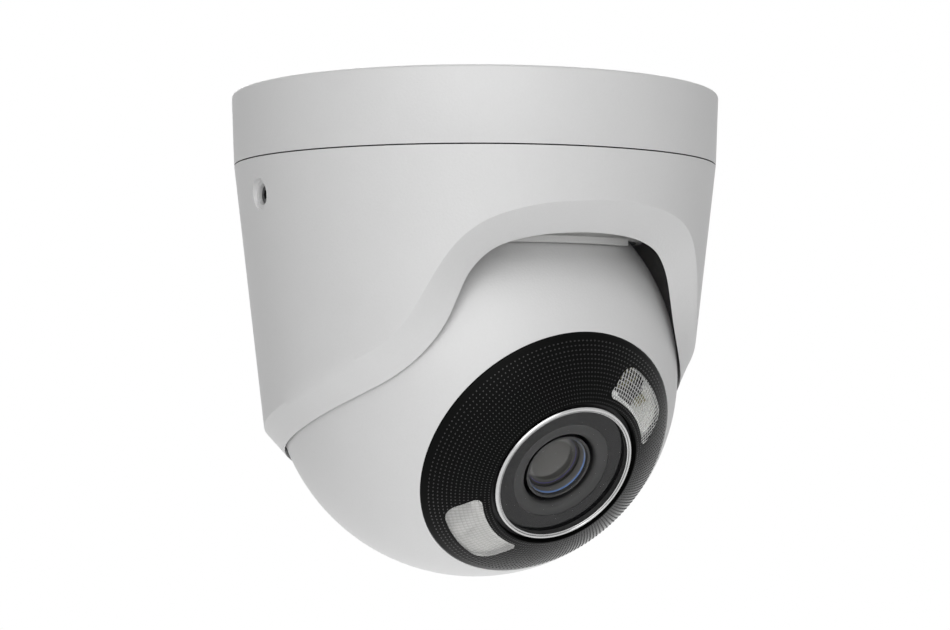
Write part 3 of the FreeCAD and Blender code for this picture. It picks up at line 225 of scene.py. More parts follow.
BASE_R, BASE_FOOT_R, SEAM_Z, EDGE_ROUND = 55.0, 54.46, -15.62, 0.8
SKIRT_R, SKIRT_IN_R, SKIRT_LOW = 50.2, 47.7, -26.6
SEAL_GROOVE_R, SEAL_TOP, SEAL_LOW = 48.3, -18.38, -20.42
LOCK_GROOVE_R, LOCK_TOP, LOCK_LOW = 49.2, -21.45, -25.95
PANEL_SEAT_R, FLANGE_TOP, FLANGE_LOW, FLANGE_IN_R = 52.2, -3.0, -5.5, 44.0
ROOM_R, ROOM_LOW = 51.66, -13.12

base_profile = [(PANEL_SEAT_R, 0), (BASE_R - EDGE_ROUND, 0)]
base_profile += arc(EDGE_ROUND, 80, 2, 6, (BASE_R - EDGE_ROUND, -EDGE_ROUND))
base_profile += [(BASE_FOOT_R, SEAM_Z), (SKIRT_R, SEAM_Z), (SKIRT_R, SEAL_TOP), (SEAL_GROOVE_R, SEAL_TOP),
                 (SEAL_GROOVE_R, SEAL_LOW), (SKIRT_R, SEAL_LOW), (SKIRT_R, LOCK_TOP),
                 (LOCK_GROOVE_R, LOCK_TOP), (LOCK_GROOVE_R, LOCK_LOW), (SKIRT_R, LOCK_LOW),
                 (SKIRT_R, SKIRT_LOW), (SKIRT_IN_R, SKIRT_LOW), (SKIRT_IN_R, ROOM_LOW), (ROOM_R, ROOM_LOW),
                 (ROOM_R, FLANGE_LOW), (FLANGE_IN_R, FLANGE_LOW), (FLANGE_IN_R, FLANGE_TOP),
                 (PANEL_SEAT_R, FLANGE_TOP)]
base_housing = lathe(base_profile)
soften(base_housing, 0.12, segments=2, angle=40)
base_ring = add_piece("base_ring", base_housing, housing_paint, "root", ["base_housing"])
# Near-black paint on every face below the seam: painted shade in the narrow seam.
painted_seam_shade = grained_material("painted_seam_shade", (0.03, 0.03, 0.031), 0.6, mottle=0.1)
paint_faces(base_ring, painted_seam_shade, lambda face: face.center.z < (SEAM_Z + 0.01) * MM)

# --------------------------------------------------
# Ceiling side of the base. A zinc-plated steel panel with a foam gasket in a groove, a rubber
# bush for the cable, cross-head screws and the O-ring of the skirt. All stay as built.
# --------------------------------------------------
DRAWN_LINES = (90.0, 90.0, 2400.0)


def brushed_metal(name, colour, roughness):
    """Metal with fine drawn lines along one direction."""
    material = grained_material(name, colour, roughness, relief=0.15, depth=0.01, metallic=1.0, mottle=0.08)
    tree = material.node_tree
    mapping = tree.nodes.new("ShaderNodeMapping")
    mapping.inputs["Scale"].default_value = tuple(value / GRAIN_SCALE for value in DRAWN_LINES)
    pattern = next(node for node in tree.nodes if node.type == "GROUP")
    source = pattern.inputs["Vector"].links[0].from_socket
    tree.links.new(source, mapping.inputs["Vector"])
    tree.links.new(mapping.outputs["Vector"], pattern.inputs["Vector"])
    return material


zinc_steel = brushed_metal("zinc_steel", (0.62, 0.62, 0.60), 0.32)
dark_screw = grained_material("dark_screw", (0.045, 0.045, 0.048), 0.38, metallic=0.6, mottle=0.15)
foam = grained_material("foam", (0.045, 0.045, 0.047), 0.95, grain=1500.0, relief=0.8, depth=0.15, mottle=0.2)
black_rubber = grained_material("black_rubber", (0.03, 0.03, 0.031), 0.7, grain=1800.0, relief=0.3,
                                depth=0.03)


def finish_nodes(material, *names):
    """Gives carried-over CAD pieces their finish."""
    for name in names:
        mesh = nodes[name].data
        mesh.materials.clear()
        mesh.materials.append(material)


finish_nodes(zinc_steel, "mounting_panel", "panel_screws")
finish_nodes(foam, "ceiling_gasket")
finish_nodes(black_rubber, "cable_grommet", "pan_seal")

# --------------------------------------------------
# Shroud. The tapered cover that turns under the base, cast and painted like it. An arch opens it
# in front of the ball, and the rest of its lower edge falls to the rear; both are chamfered.
# --------------------------------------------------
SEAM_GAP, TAPER, OPEN_R = 0.25, 0.1151, 46.5
BALL_Z = frame["joints"][1]["pos_m"][2] / MM
LEDGE_LOW, LEDGE_TOP, LEDGE_IN_R, SKIRT_ROOM_R = -31.0, -27.0, 42.0, 50.5
COLUMNS_PER_STEP = 12
# Azimuth in degrees from the front and height, of the outer and of the inner edge: arch, feet, rear.
OPENING_HALF = (
    ((0.0, -26.5), (0.0, -32.7)), ((12.0, -27.1), (11.6, -33.2)), ((20.5, -28.4), (19.4, -34.3)),
    ((28.5, -31.0), (26.0, -36.3)), ((35.0, -35.5), (30.6, -39.5)), ((40.0, -41.6), (33.4, -43.0)),
    ((44.5, -48.0), (36.2, -48.3)), ((48.0, -52.0), (38.8, -52.3)), ((53.0, -55.5), (43.4, -57.0)),
    ((60.0, -58.6), (51.5, -62.2)), ((70.0, -62.4), (64.4, -67.1)), ((90.0, -68.7), (87.0, -74.0)),
    ((120.0, -75.8), (118.0, -81.3)), ((150.0, -80.8), (150.0, -86.2)))
OPENING_REAR = ((180.0, -82.6), (180.0, -87.8))


def cone_r(z):
    """Outer radius of the shroud."""
    return BASE_FOOT_R + (z - SEAM_Z) * TAPER


def inside_r(z):
    """Radius of the shroud's inside: a cylinder above the ball's middle, a sphere below it."""
    drop = min(0.0, z - BALL_Z)
    return math.sqrt(OPEN_R ** 2 - drop ** 2)


def cyclic_spline(points, per_step):
    """Smooth closed curve through points, with the same number of samples in each step."""
    points = np.array(points)
    count = len(points)
    system = 4 * np.eye(count) + np.roll(np.eye(count), 1, 0) + np.roll(np.eye(count), -1, 0)
    slope = np.linalg.solve(system, 3 * (np.roll(points, -1, 0) - np.roll(points, 1, 0)))
    samples = []
    for i in range(count):
        start, end = points[i], points[(i + 1) % count]
        leave, arrive = slope[i], slope[(i + 1) % count]
        for step in range(per_step):
            t = step / per_step
            samples.append((2 * t ** 3 - 3 * t ** 2 + 1) * start + (t ** 3 - 2 * t ** 2 + t) * leave
                           + (3 * t ** 2 - 2 * t ** 3) * end + (t ** 3 - t ** 2) * arrive)
    return samples


def around_point(radius, azimuth, z):
    """Point at an azimuth counted from the front, -Y."""
    turn = math.radians(azimuth - 90)
    return (radius * math.cos(turn), radius * math.sin(turn), z)


def opening_edges():
    """Outer and inner edge of the opening as (azimuth in radians, height) columns."""
    left = [((-outer[0], outer[1]), (-inner[0], inner[1])) for outer, inner in OPENING_HALF[:0:-1]]
    pairs = list(OPENING_HALF) + [OPENING_REAR] + left
    outer = cyclic_spline([around_point(cone_r(o[1]), *o) for o, _ in pairs], COLUMNS_PER_STEP)
    inner = cyclic_spline([around_point(inside_r(i[1]), *i) for _, i in pairs], COLUMNS_PER_STEP)
    return [[(math.atan2(y, x), z) for x, y, z in edge] for edge in (outer, inner)]


outer_edge, inner_edge = opening_edges()
COLUMNS = len(outer_edge)
OUTER_ROWS, BAND_ROWS, INNER_ROWS, LEDGE_ROWS = 22, 5, 14, 4


def shroud_row(row, column):
    """Place of one point of the shroud's skin, row by row from the seam round to the inside."""
    (out_turn, out_z), (in_turn, in_z) = outer_edge[column], inner_edge[column]
    top = SEAM_Z - SEAM_GAP
    if row <= OUTER_ROWS:
        z = top + (out_z - top) * row / OUTER_ROWS
        return (cone_r(z), out_turn, z)
    if row <= OUTER_ROWS + BAND_ROWS:
        share = (row - OUTER_ROWS) / BAND_ROWS
        start = Vector((cone_r(out_z) * math.cos(out_turn), cone_r(out_z) * math.sin(out_turn), out_z))
        end = Vector((inside_r(in_z) * math.cos(in_turn), inside_r(in_z) * math.sin(in_turn), in_z))
        point = start.lerp(end, share)
        return (math.hypot(point.x, point.y), math.atan2(point.y, point.x), point.z)
    row -= OUTER_ROWS + BAND_ROWS
    if row <= INNER_ROWS:
        z = in_z + (LEDGE_LOW - in_z) * row / INNER_ROWS
        return (inside_r(z), in_turn, z)
    corners = ((LEDGE_IN_R, LEDGE_LOW), (LEDGE_IN_R, LEDGE_TOP), (SKIRT_ROOM_R, LEDGE_TOP),
               (SKIRT_ROOM_R, top))
    radius, z = corners[row - INNER_ROWS - 1]
    return (radius, in_turn if row < INNER_ROWS + LEDGE_ROWS else out_turn, z)


def make_shroud():
    """Lathed ring of rows and columns, pressed to the walls and to the curves of the opening."""
    rows = OUTER_ROWS + BAND_ROWS + INNER_ROWS + LEDGE_ROWS + 1
    bm = bmesh.new()
    turns = [2 * math.pi * row / rows for row in range(rows)]
    blank = [bm.verts.new((1 + 0.1 * math.cos(turn), 0, math.sin(turn))) for turn in turns]
    rim = [bm.edges.new((a, b)) for a, b in zip(blank, blank[1:] + blank[:1])]
    bmesh.ops.spin(bm, geom=blank + rim, cent=(0, 0, 0), axis=(0, 0, 1), angle=2 * math.pi, steps=COLUMNS,
                   use_merge=True, use_duplicate=False)
    bmesh.ops.remove_doubles(bm, verts=bm.verts, dist=1e-5)
    for vert in bm.verts:
        column = round(math.atan2(vert.co.y, vert.co.x) / (2 * math.pi) * COLUMNS) % COLUMNS
        radius = math.hypot(vert.co.x, vert.co.y)
        row = round(math.atan2(vert.co.z, (radius - 1) * 10) / (2 * math.pi) * rows) % rows
        radius, turn, z = shroud_row(row, column)
        vert.co = Vector((radius * math.cos(turn), radius * math.sin(turn), z)) * MM
    bmesh.ops.recalc_face_normals(bm, faces=bm.faces)
    return bm


shroud_bm = make_shroud()
soften(shroud_bm, 0.45, segments=4, angle=24)


def solid_cylinder(radius, start, end, segments=64):
    """Closed cylinder between two points in millimetres."""
    start, end = Vector(start) * MM, Vector(end) * MM
    bm = bmesh.new()
    turn = (end - start).to_track_quat("Z", "Y").to_matrix().to_4x4()
    bmesh.ops.create_cone(bm, cap_ends=True, segments=segments, radius1=radius * MM, radius2=radius * MM,
                          depth=(end - start).length, matrix=Matrix.Translation((start + end) / 2) @ turn)
    return bm


def carve(piece, tools, operation="DIFFERENCE"):
    """Cuts tool bodies out of a piece one by one, or keeps what they share with it."""
    for tool in tools:
        bmesh.ops.recalc_face_normals(tool, faces=tool.faces)
        mesh = bpy.data.meshes.new("tool")
        tool.to_mesh(mesh)
        tool.free()
        cutter = new_object("tool", mesh)
        cut = piece.modifiers.new("carve", "BOOLEAN")
        cut.operation = operation
        cut.solver = "EXACT"
        cut.object = cutter
        baked = bpy.data.meshes.new_from_object(piece.evaluated_get(bpy.context.evaluated_depsgraph_get()))
        piece.modifiers.clear()
        piece.data = baked
        bpy.data.objects.remove(cutter)
        bpy.data.meshes.remove(mesh)
    piece.data.set_sharp_from_angle(angle=SHARP_ANGLE)
    return piece


LOCK_Z, LOCK_BORE_R, LOCK_SINK_R, LOCK_SINK_DEPTH = -23.7, 2.3, 3.4, 0.9
LOCK_FROM_R, LOCK_TO_R = 48.0, 60.0
shroud = add_piece("shroud_cover", shroud_bm, housing_paint, "turret", ["shroud"])
lock_tools = []
for side in (-1, 1):
    outside = (side * LOCK_TO_R, 0, LOCK_Z)
    sink_floor = side * (cone_r(LOCK_Z) - LOCK_SINK_DEPTH)
    lock_tools.append(solid_cylinder(LOCK_BORE_R, (side * LOCK_FROM_R, 0, LOCK_Z), outside))
    lock_tools.append(solid_cylinder(LOCK_SINK_R, (sink_floor, 0, LOCK_Z), outside))
carve(shroud, lock_tools)
finish_nodes(dark_screw, "lock_screws")

# --------------------------------------------------
# Clamp ring, with its screws, silicone ring and pads. Moulded light grey plastic: it lies on the
# shroud's ledge and presses the ball down, and its lip shows as a pale strip behind the arch.
# --------------------------------------------------
light_plastic = grained_material("light_plastic", (0.70, 0.70, 0.69), 0.45, grain=1800.0, relief=0.3)
grey_silicone = grained_material("grey_silicone", (0.20, 0.205, 0.21), 0.6)
white_acetal = grained_material("white_acetal", (0.75, 0.75, 0.73), 0.4)
finish_nodes(light_plastic, "clamp_ring")
finish_nodes(zinc_steel, "clamp_screws")
finish_nodes(grey_silicone, "friction_ring")
finish_nodes(white_acetal, "friction_pads")

# --------------------------------------------------
# Ball, front and rear shell. Two die-cast, painted cups screwed together from behind, with an
# O-ring between them. The front one takes the face in a flat seat, the rear one the cable's bush.
# --------------------------------------------------
BALL_R, BALL_WALL, SPLIT = 45.81, 2.4, -16.0
SHELL_IN_R = BALL_R - BALL_WALL
FACE_HOLE_R, SEAT_S, BOARD_R, BOARD_S = 30.0, 32.6, 27.0, 29.4
SHELF_R, SHELF_S = BOARD_R - 2.5, BOARD_S - 2.0
aim = Vector(frame["joints"][2]["axis"])
sideways = Vector((1, 0, 0))
optical = Matrix((sideways, aim.cross(sideways), aim)).transposed().to_4x4()
optical = Matrix.Translation((0, 0, BALL_Z * MM)) @ optical


def sphere_angle(radius, s):
    """Elevation in degrees of a height on a sphere."""
    return math.degrees(math.asin(s / radius))


def rim_angle(radius, r):
    """Elevation in degrees of the place on a sphere at a distance from its axis."""
    return math.degrees(math.acos(r / radius))


def on_sphere(radius, r):
    """Height on a sphere at a distance from its axis."""
    return math.sqrt(radius ** 2 - r ** 2)


face_lip = on_sphere(BALL_R, FACE_HOLE_R)
front_profile = arc(BALL_R, sphere_angle(BALL_R, SPLIT), sphere_angle(BALL_R, face_lip), 72)
front_profile += [(FACE_HOLE_R, SEAT_S), (BOARD_R, SEAT_S), (BOARD_R, BOARD_S), (SHELF_R, BOARD_S),
                  (SHELF_R, SHELF_S), (on_sphere(SHELL_IN_R, SHELF_S), SHELF_S)]
front_profile += arc(SHELL_IN_R, sphere_angle(SHELL_IN_R, SHELF_S), sphere_angle(SHELL_IN_R, SPLIT), 40)[1:]
front_shell = lathe(front_profile)
soften(front_shell, 0.14, segments=3, angle=30)
POST_RING_R, POST_R, POST_SPAN, POST_ANGLES = 36.0, 3.2, (-4.4, 19.0), (45, 135, 225, 315)
SCREW_RING_R, SCREW_POST_R, SCREW_SPAN, SCREW_ANGLES = 34.6, 3.0, (-15.9, 21.0), (90, 210, 330)
SCREW_BORE_R, SCREW_BORE_LOW, SCREW_BORE_TOP = 2.65, -50.0, -20.0


def add_post(bm, radius, ring_r, angle, low, high):
    """Round post inside the shell."""
    turn = math.radians(angle)
    place = Vector((ring_r * math.cos(turn), ring_r * math.sin(turn), (low + high) / 2)) * MM
    bmesh.ops.create_cone(bm, cap_ends=True, segments=32, radius1=radius * MM, radius2=radius * MM,
                          depth=(high - low) * MM, matrix=Matrix.Translation(place))


for angle in POST_ANGLES:
    add_post(front_shell, POST_R, POST_RING_R, angle, *POST_SPAN)
for angle in SCREW_ANGLES:
    add_post(front_shell, SCREW_POST_R, SCREW_RING_R, angle, *SCREW_SPAN)
add_piece("ball_front", front_shell, housing_paint, "ball", ["front_shell"], optical)

GLAND_RECESS_R, GLAND_FLOOR, GLAND_BOSS, GLAND_BOSS_R, GLAND_HOLE_R = 9.0, -42.0, -38.5, 12.5, 6.0
REAR_RIM, SPIGOT_R, SPIGOT_IN_R, SPIGOT_TOP, SPIGOT_ROOT = SPLIT - 0.05, 39.9, 38.0, -13.0, -20.0
REAR_WALL_TOP = -20.98
rear_profile = [(GLAND_HOLE_R, GLAND_FLOOR), (GLAND_RECESS_R, GLAND_FLOOR)]
rear_profile += arc(BALL_R, -rim_angle(BALL_R, GLAND_RECESS_R), sphere_angle(BALL_R, REAR_RIM), 60)
rear_profile += [(SPIGOT_R, REAR_RIM), (SPIGOT_R, SPIGOT_TOP), (SPIGOT_IN_R, SPIGOT_TOP),
                 (SPIGOT_IN_R, SPIGOT_ROOT)]
rear_profile += arc(SHELL_IN_R, sphere_angle(SHELL_IN_R, REAR_WALL_TOP),
                    -rim_angle(SHELL_IN_R, GLAND_BOSS_R), 40)
rear_profile += [(GLAND_BOSS_R, GLAND_BOSS), (GLAND_HOLE_R, GLAND_BOSS)]
rear_shell = lathe(rear_profile)
soften(rear_shell, 0.14, segments=3, angle=30)
rear = add_piece("ball_rear", rear_shell, housing_paint, "ball", ["rear_shell"])
screw_tools = []
for turn in np.radians(SCREW_ANGLES):
    x, y = SCREW_RING_R * math.cos(turn), SCREW_RING_R * math.sin(turn)
    screw_tools.append(solid_cylinder(SCREW_BORE_R, (x, y, SCREW_BORE_LOW), (x, y, SCREW_BORE_TOP), 48))
carve(rear, screw_tools)
rear.data.transform(optical)
finish_nodes(zinc_steel, "shell_screws", "swivel_clip")
finish_nodes(black_rubber, "shell_seal", "cable_swivel")

# --------------------------------------------------
# Face. Black moulded cover, flush with the ball, with fine satin grain. Rings of small domes
# cover it, and it is open for the lens and, between its two collars, for the lights.
# --------------------------------------------------
FACE_R, FACE_UNDER, FACE_SKIN, BORE_R, TUBE_R, TUBE_LOW = 29.88, 33.4, 2.2, 17.3, 18.6, 36.0
LIGHT_IN_R, LIGHT_OUT_R, LIGHT_HALF, LIGHT_ANGLES = 19.1, 26.4, 9.3, (45, 225)
OUTER_ROUND, INNER_ROUND, LIGHT_CORNER_A = 3.7, 1.2, 22.0
PRISM_LOW, PRISM_HIGH = 20.0, 60.0
DOT_COUNT, DOT_RINGS, DOT_FIRST_R, DOT_STEP = 180, 15, 17.88, 0.768
DOT_PITCH = 2 * math.pi / DOT_COUNT
# Half size of a dot round the face, its share of that along the radius, and the ring it applies to.
DOT_FILL, DOT_DEEP, DOT_FULL_R = 0.24, 0.92, 28.6
DOT_RISE, DOT_MARGIN = 0.15, 0.25


def light_shape(inset):
    """Outline of a light opening, seen along the optical axis: a ring sector with round corners."""
    outer_r, inner_r, half = LIGHT_OUT_R - inset, LIGHT_IN_R + inset, LIGHT_HALF - inset
    outer_round, inner_round = OUTER_ROUND - inset, max(INNER_ROUND - inset, 0.3)
    out_b, in_b = half - outer_round, half - inner_round
    out_a = math.sqrt((outer_r - outer_round) ** 2 - out_b ** 2)
    in_a = math.sqrt((inner_r + inner_round) ** 2 - in_b ** 2)
    out_turn, in_turn = math.degrees(math.atan2(out_b, out_a)), math.degrees(math.atan2(in_b, in_a))
    points = arc(outer_r, -out_turn, out_turn, 24)
    points += arc(outer_round, out_turn, 90, 12, (out_a, out_b))[1:]
    points += arc(inner_round, 90, 180 + in_turn, 10, (in_a, in_b))
    points += arc(inner_r, in_turn, -in_turn, 20)[1:]
    points += arc(inner_round, 180 - in_turn, 270, 10, (in_a, -in_b))[1:]
    points += arc(outer_round, -90, -out_turn, 12, (out_a, -out_b))[:-1]
    return points


def turn_to(bm, angle):
    """Turns a body about the optical axis to the angle of a light."""
    bmesh.ops.rotate(bm, verts=bm.verts, matrix=Matrix.Rotation(math.radians(angle), 3, "Z"))


def light_prism(inset, angle, low=PRISM_LOW):
    """Straight body on the outline of a light opening, up to well above the ball."""
    bm = bmesh.new()
    rim = [bm.verts.new((a * MM, b * MM, low * MM)) for a, b in light_shape(inset)]
    raised = bmesh.ops.extrude_face_region(bm, geom=[bm.faces.new(rim)])["geom"]
    top = [item for item in raised if isinstance(item, bmesh.types.BMVert)]
    bmesh.ops.translate(bm, vec=(0, 0, (PRISM_HIGH - low) * MM), verts=top)
    turn_to(bm, angle)
    bmesh.ops.recalc_face_normals(bm, faces=bm.faces)
    return bm


def inside_light(r, turn, margin):
    """True where a point of the face lies over a light opening or nearer to it than the margin."""
    for angle in LIGHT_ANGLES:
        off = turn - math.radians(angle)
        a, b = r * math.cos(off), abs(r * math.sin(off))
        if a > 0 and b < LIGHT_HALF + margin and LIGHT_IN_R - margin < r < LIGHT_OUT_R + margin:
            corner_b = LIGHT_HALF - OUTER_ROUND
            corner = math.hypot(a - LIGHT_CORNER_A, b - corner_b)
            if a < LIGHT_CORNER_A or b < corner_b or corner < OUTER_ROUND + margin:
                return True
    return False


black_face = grained_material("black_face", (0.003, 0.0032, 0.0031), 0.36, grain=3200.0, relief=0.12,
                              mottle=0.12, shine=0.04)
dot_black = grained_material("dot_black", (0.009, 0.009, 0.009), 0.22, mottle=0.12, shine=0.35)
for satin in (black_face, dot_black):
    tree = satin.node_tree
    edge_on = tree.nodes.new("ShaderNodeLayerWeight")
    edge_on.inputs["Blend"].default_value = 0.5
    edge_gloss = math_node(tree, "POWER", edge_on.outputs["Facing"], 4.0)
    coat = tree.nodes["Principled BSDF"]
    tree.links.new(edge_gloss, coat.inputs["Coat Weight"])
    coat.inputs["Coat Roughness"].default_value = 0.3
under_r = BALL_R - FACE_SKIN
face_profile = arc(BALL_R, rim_angle(BALL_R, FACE_R), rim_angle(BALL_R, BORE_R), 40)
face_profile += [(BORE_R, TUBE_LOW), (TUBE_R, TUBE_LOW)]
face_profile += arc(under_r, rim_angle(under_r, TUBE_R), rim_angle(under_r, BOARD_R), 20)
face_profile += [(BOARD_R, FACE_UNDER), (FACE_R, FACE_UNDER)]
face_bm = lathe(face_profile, steps=360)
soften(face_bm, 0.12, segments=3, angle=30)
face_cover = add_piece("face_cover", face_bm, black_face, "ball", ["face_bezel"])
carve(face_cover, [light_prism(0.0, angle) for angle in LIGHT_ANGLES])
face_cover.data.transform(optical)


def dot_grid():
    """Domes of the face: one radial row, turned round the face, less those over the lights."""
    bm = bmesh.new()
    for ring in range(DOT_RINGS):
        r = DOT_FIRST_R + DOT_STEP * ring
        lean = math.asin(r / BALL_R)
        size = Matrix.Diagonal((DOT_FILL * DOT_DEEP * MM, DOT_FILL * r / DOT_FULL_R * MM, DOT_RISE * MM, 1))
        place = Matrix.Translation((r * MM, 0, on_sphere(BALL_R, r) * MM)) @ Matrix.Rotation(lean, 4, "Y")
        bmesh.ops.create_uvsphere(bm, u_segments=8, v_segments=4, radius=1.0, matrix=place @ size)
    row = bm.verts[:] + bm.edges[:] + bm.faces[:]
    bmesh.ops.spin(bm, geom=row, cent=(0, 0, 0), axis=(0, 0, 1), angle=2 * math.pi - DOT_PITCH,
                   steps=DOT_COUNT - 1, use_duplicate=True)
    over_lights = []
    for vert in bm.verts:
        ring = round((math.hypot(vert.co.x, vert.co.y) / MM - DOT_FIRST_R) / DOT_STEP)
        turn = round(math.atan2(vert.co.y, vert.co.x) / DOT_PITCH) * DOT_PITCH
        if inside_light(DOT_FIRST_R + DOT_STEP * ring, turn, DOT_MARGIN):
            over_lights.append(vert)
    bmesh.ops.delete(bm, geom=over_lights, context="VERTS")
    bmesh.ops.recalc_face_normals(bm, faces=bm.faces)
    return bm


add_piece("face_dots", dot_grid(), dot_black, "ball", place=optical)
finish_nodes(foam, "face_gasket")

# --------------------------------------------------
# Light windows. Two acrylic plates, pressed into the face and flush with it: one clear with a
# frosted ground, one milky, whose ground between the domes is painted darker as painted shade.
# The rings of domes run on over them and break up what lies behind.
# --------------------------------------------------
PLATE, FIT, SKIN_FROM = 1.8, 0.05, BALL_R - 0.5
WINDOW_DOT_FILL, WINDOW_DOT_RISE, SAMPLES_PER_DOT = 0.38, 0.08, 6
SLAB_MARGIN, SLAB_SPREAD = 0.6, math.radians(31)


def mix_shaders(tree, share, first, second):
    """Puts a mix of two shaders on the surface."""
    mix = tree.nodes.new("ShaderNodeMixShader")
    tree.links.new(share, mix.inputs["Fac"])
    tree.links.new(first.outputs["BSDF"], mix.inputs[1])
    tree.links.new(second.outputs["BSDF"], mix.inputs[2])
    tree.links.new(mix.outputs["Shader"], tree.nodes["Material Output"].inputs["Surface"])


def clear_material(name, colour, ior, roughness, clear=1.0):
    """Clear piece that lets lamp light through to what is behind it."""
    material, tree, shader = new_material(name)
    shader.inputs["Base Color"].default_value = (*colour, 1)
    shader.inputs["Transmission Weight"].default_value = clear
    shader.inputs["IOR"].default_value = ior
    mottle_input(tree, surface_pattern(tree), (roughness,) * 3, HAZE_SWING, shader.inputs["Roughness"])
    rays = tree.nodes.new("ShaderNodeLightPath")
    passing = math_node(tree, "MAXIMUM", rays.outputs["Is Shadow Ray"], rays.outputs["Is Diffuse Ray"])
    through = tree.nodes.new("ShaderNodeBsdfTransparent")
    through.inputs["Color"].default_value = (*colour, 1)
    mix_shaders(tree, passing, shader, through)
    return material


def dot_height(place):
    """Rise of the dotted surface over the sphere: nothing between the domes."""
    r, turn = math.hypot(place.x, place.y) / MM, math.atan2(place.y, place.x)
    off_ring = (r - DOT_FIRST_R) / DOT_STEP
    off_ring = (off_ring - round(off_ring)) * DOT_STEP / (WINDOW_DOT_FILL * DOT_DEEP)
    off_turn = (turn / DOT_PITCH - round(turn / DOT_PITCH)) * DOT_PITCH * DOT_FULL_R / WINDOW_DOT_FILL
    return WINDOW_DOT_RISE * math.sqrt(max(0.0, 1 - off_ring ** 2 - off_turn ** 2))


def dotted_slab(angle):
    """Piece of the dotted sphere, as thick as a window and larger than it all round."""
    low_r, high_r = LIGHT_IN_R - SLAB_MARGIN, LIGHT_OUT_R + SLAB_MARGIN
    rings = round((high_r - low_r) / DOT_STEP * SAMPLES_PER_DOT)
    inner = BALL_R - PLATE
    front = [(r, on_sphere(BALL_R, r)) for r in np.linspace(low_r, high_r, rings)]
    back = [(r, on_sphere(inner, r)) for r in np.linspace(high_r, low_r, 12)]
    turns = round(2 * SLAB_SPREAD * DOT_COUNT / (2 * math.pi) * SAMPLES_PER_DOT)
    start = Matrix.Rotation(math.radians(angle) - SLAB_SPREAD, 3, "Z")
    bm = bmesh.new()
    corners = [bm.verts.new(start @ Vector((r, 0, s)) * MM) for r, s in front + back]
    bmesh.ops.spin(bm, geom=[bm.faces.new(corners)], cent=(0, 0, 0), axis=(0, 0, 1), angle=2 * SLAB_SPREAD,
                   steps=turns, use_duplicate=False)
    bmesh.ops.recalc_face_normals(bm, faces=bm.faces)
    for vert in bm.verts:
        if vert.co.length > SKIN_FROM * MM:
            vert.co *= 1 + dot_height(vert.co) / BALL_R
    return bm


def is_land(face):
    """True for a face of the window's outside that lies between the domes."""
    return face.center.length > SKIN_FROM * MM and dot_height(face.center) == 0


clear_acrylic = clear_material("clear_plastic", (0.98, 0.985, 0.98), 1.12, 0.02)
frosted_acrylic = clear_material("frosted_plastic", (0.85, 0.85, 0.84), 1.3, 0.2, clear=0.45)
milky_acrylic = clear_material("milky_plastic", (0.90, 0.90, 0.89), 1.15, 0.1, clear=0.7)
# The milky plastic again, darker: painted shade on the ground between the domes.
milky_land_painted_shade = clear_material("milky_plastic_painted_shade", (0.74, 0.74, 0.73), 1.15, 0.1, clear=0.7)
window_finishes = ((clear_acrylic, frosted_acrylic), (milky_acrylic, milky_land_painted_shade))
for number, (angle, (dome, land)) in enumerate(zip(LIGHT_ANGLES, window_finishes), start=1):
    stands_for = ["light_windows"] if number == 1 else []
    window = add_piece("light_window_%d" % number, light_prism(FIT, angle), dome, "ball",
                       stands_for)
    carve(window, [dotted_slab(angle)], "INTERSECT")
    paint_faces(window, land, is_land)
    window.data.transform(optical)

# --------------------------------------------------
# Light reflectors and light chips. A white moulded cup behind each window, with two tapered
# cells, one of them black. A chip stands in each cell, on the black board.
# --------------------------------------------------
CUP_LOW, CUP_FLOOR, CELL_TOP, CELL_INSET = 31.0, 32.0, 42.0, 0.55
CELL_A, CELL_B, CELL_LOW_HALF = 22.75, 4.55, 2.5
CELL_TOP_B, CELL_TOP_HALF, DARK_CELL = 5.1, (4.4, 7.0), (45, 1)
CHIP_TOP, CHIP_EDGE = 35.0, 0.15
PAD_STEP, PAD_HALF, PAD_THICK = 0.98, 0.27, 0.12


def cell_tool(angle, side):
    """Tapered pocket with round corners, from the chip up to the window."""
    bm = bmesh.new()
    bmesh.ops.create_cone(bm, cap_ends=True, segments=48, radius1=1, radius2=1,
                          depth=(CELL_TOP - CUP_FLOOR) * MM,
                          matrix=Matrix.Translation((0, 0, (CUP_FLOOR + CELL_TOP) / 2 * MM)))
    for vert in bm.verts:
        turn = math.atan2(vert.co.y, vert.co.x)
        squareness = (abs(math.cos(turn)) ** 4 + abs(math.sin(turn)) ** 4) ** -0.25
        at_top = vert.co.z > CUP_FLOOR * MM + 1e-6
        half_a, half_b = CELL_TOP_HALF if at_top else (CELL_LOW_HALF, CELL_LOW_HALF)
        shift = CELL_TOP_B if at_top else CELL_B
        vert.co.x = (CELL_A + half_a * squareness * math.cos(turn)) * MM
        vert.co.y = (side * shift + half_b * squareness * math.sin(turn)) * MM
    turn_to(bm, angle)
    return bm


def sphere_tool(radius):
    """Whole ball about the centre."""
    bm = bmesh.new()
    bmesh.ops.create_uvsphere(bm, u_segments=160, v_segments=80, radius=radius * MM)
    return bm


reflector_white = grained_material("reflector", (0.92, 0.92, 0.91), 0.3, grain=1500.0, relief=0.2,
                                   metallic=0.2, shine=0.8)
ir_chip = grained_material("ir_chip", (0.012, 0.012, 0.008), 0.3, mottle=0.2, shine=0.2)
yellow_chip = grained_material("led_yellow", (0.13, 0.12, 0.03), 0.4, grain=3000.0, mottle=0.2)
pale_chip = grained_material("led_pale", (0.3, 0.3, 0.29), 0.35, mottle=0.1)


def chip_block(angle, off_middle, half, low, high):
    """Square chip with soft edges."""
    bm = bmesh.new()
    bmesh.ops.create_cube(bm, size=1.0)
    bmesh.ops.scale(bm, vec=Vector((2 * half, 2 * half, high - low)) * MM, verts=bm.verts)
    bmesh.ops.translate(bm, vec=Vector((CELL_A, off_middle, (low + high) / 2)) * MM, verts=bm.verts)
    turn_to(bm, angle)
    soften(bm, CHIP_EDGE)
    return bm


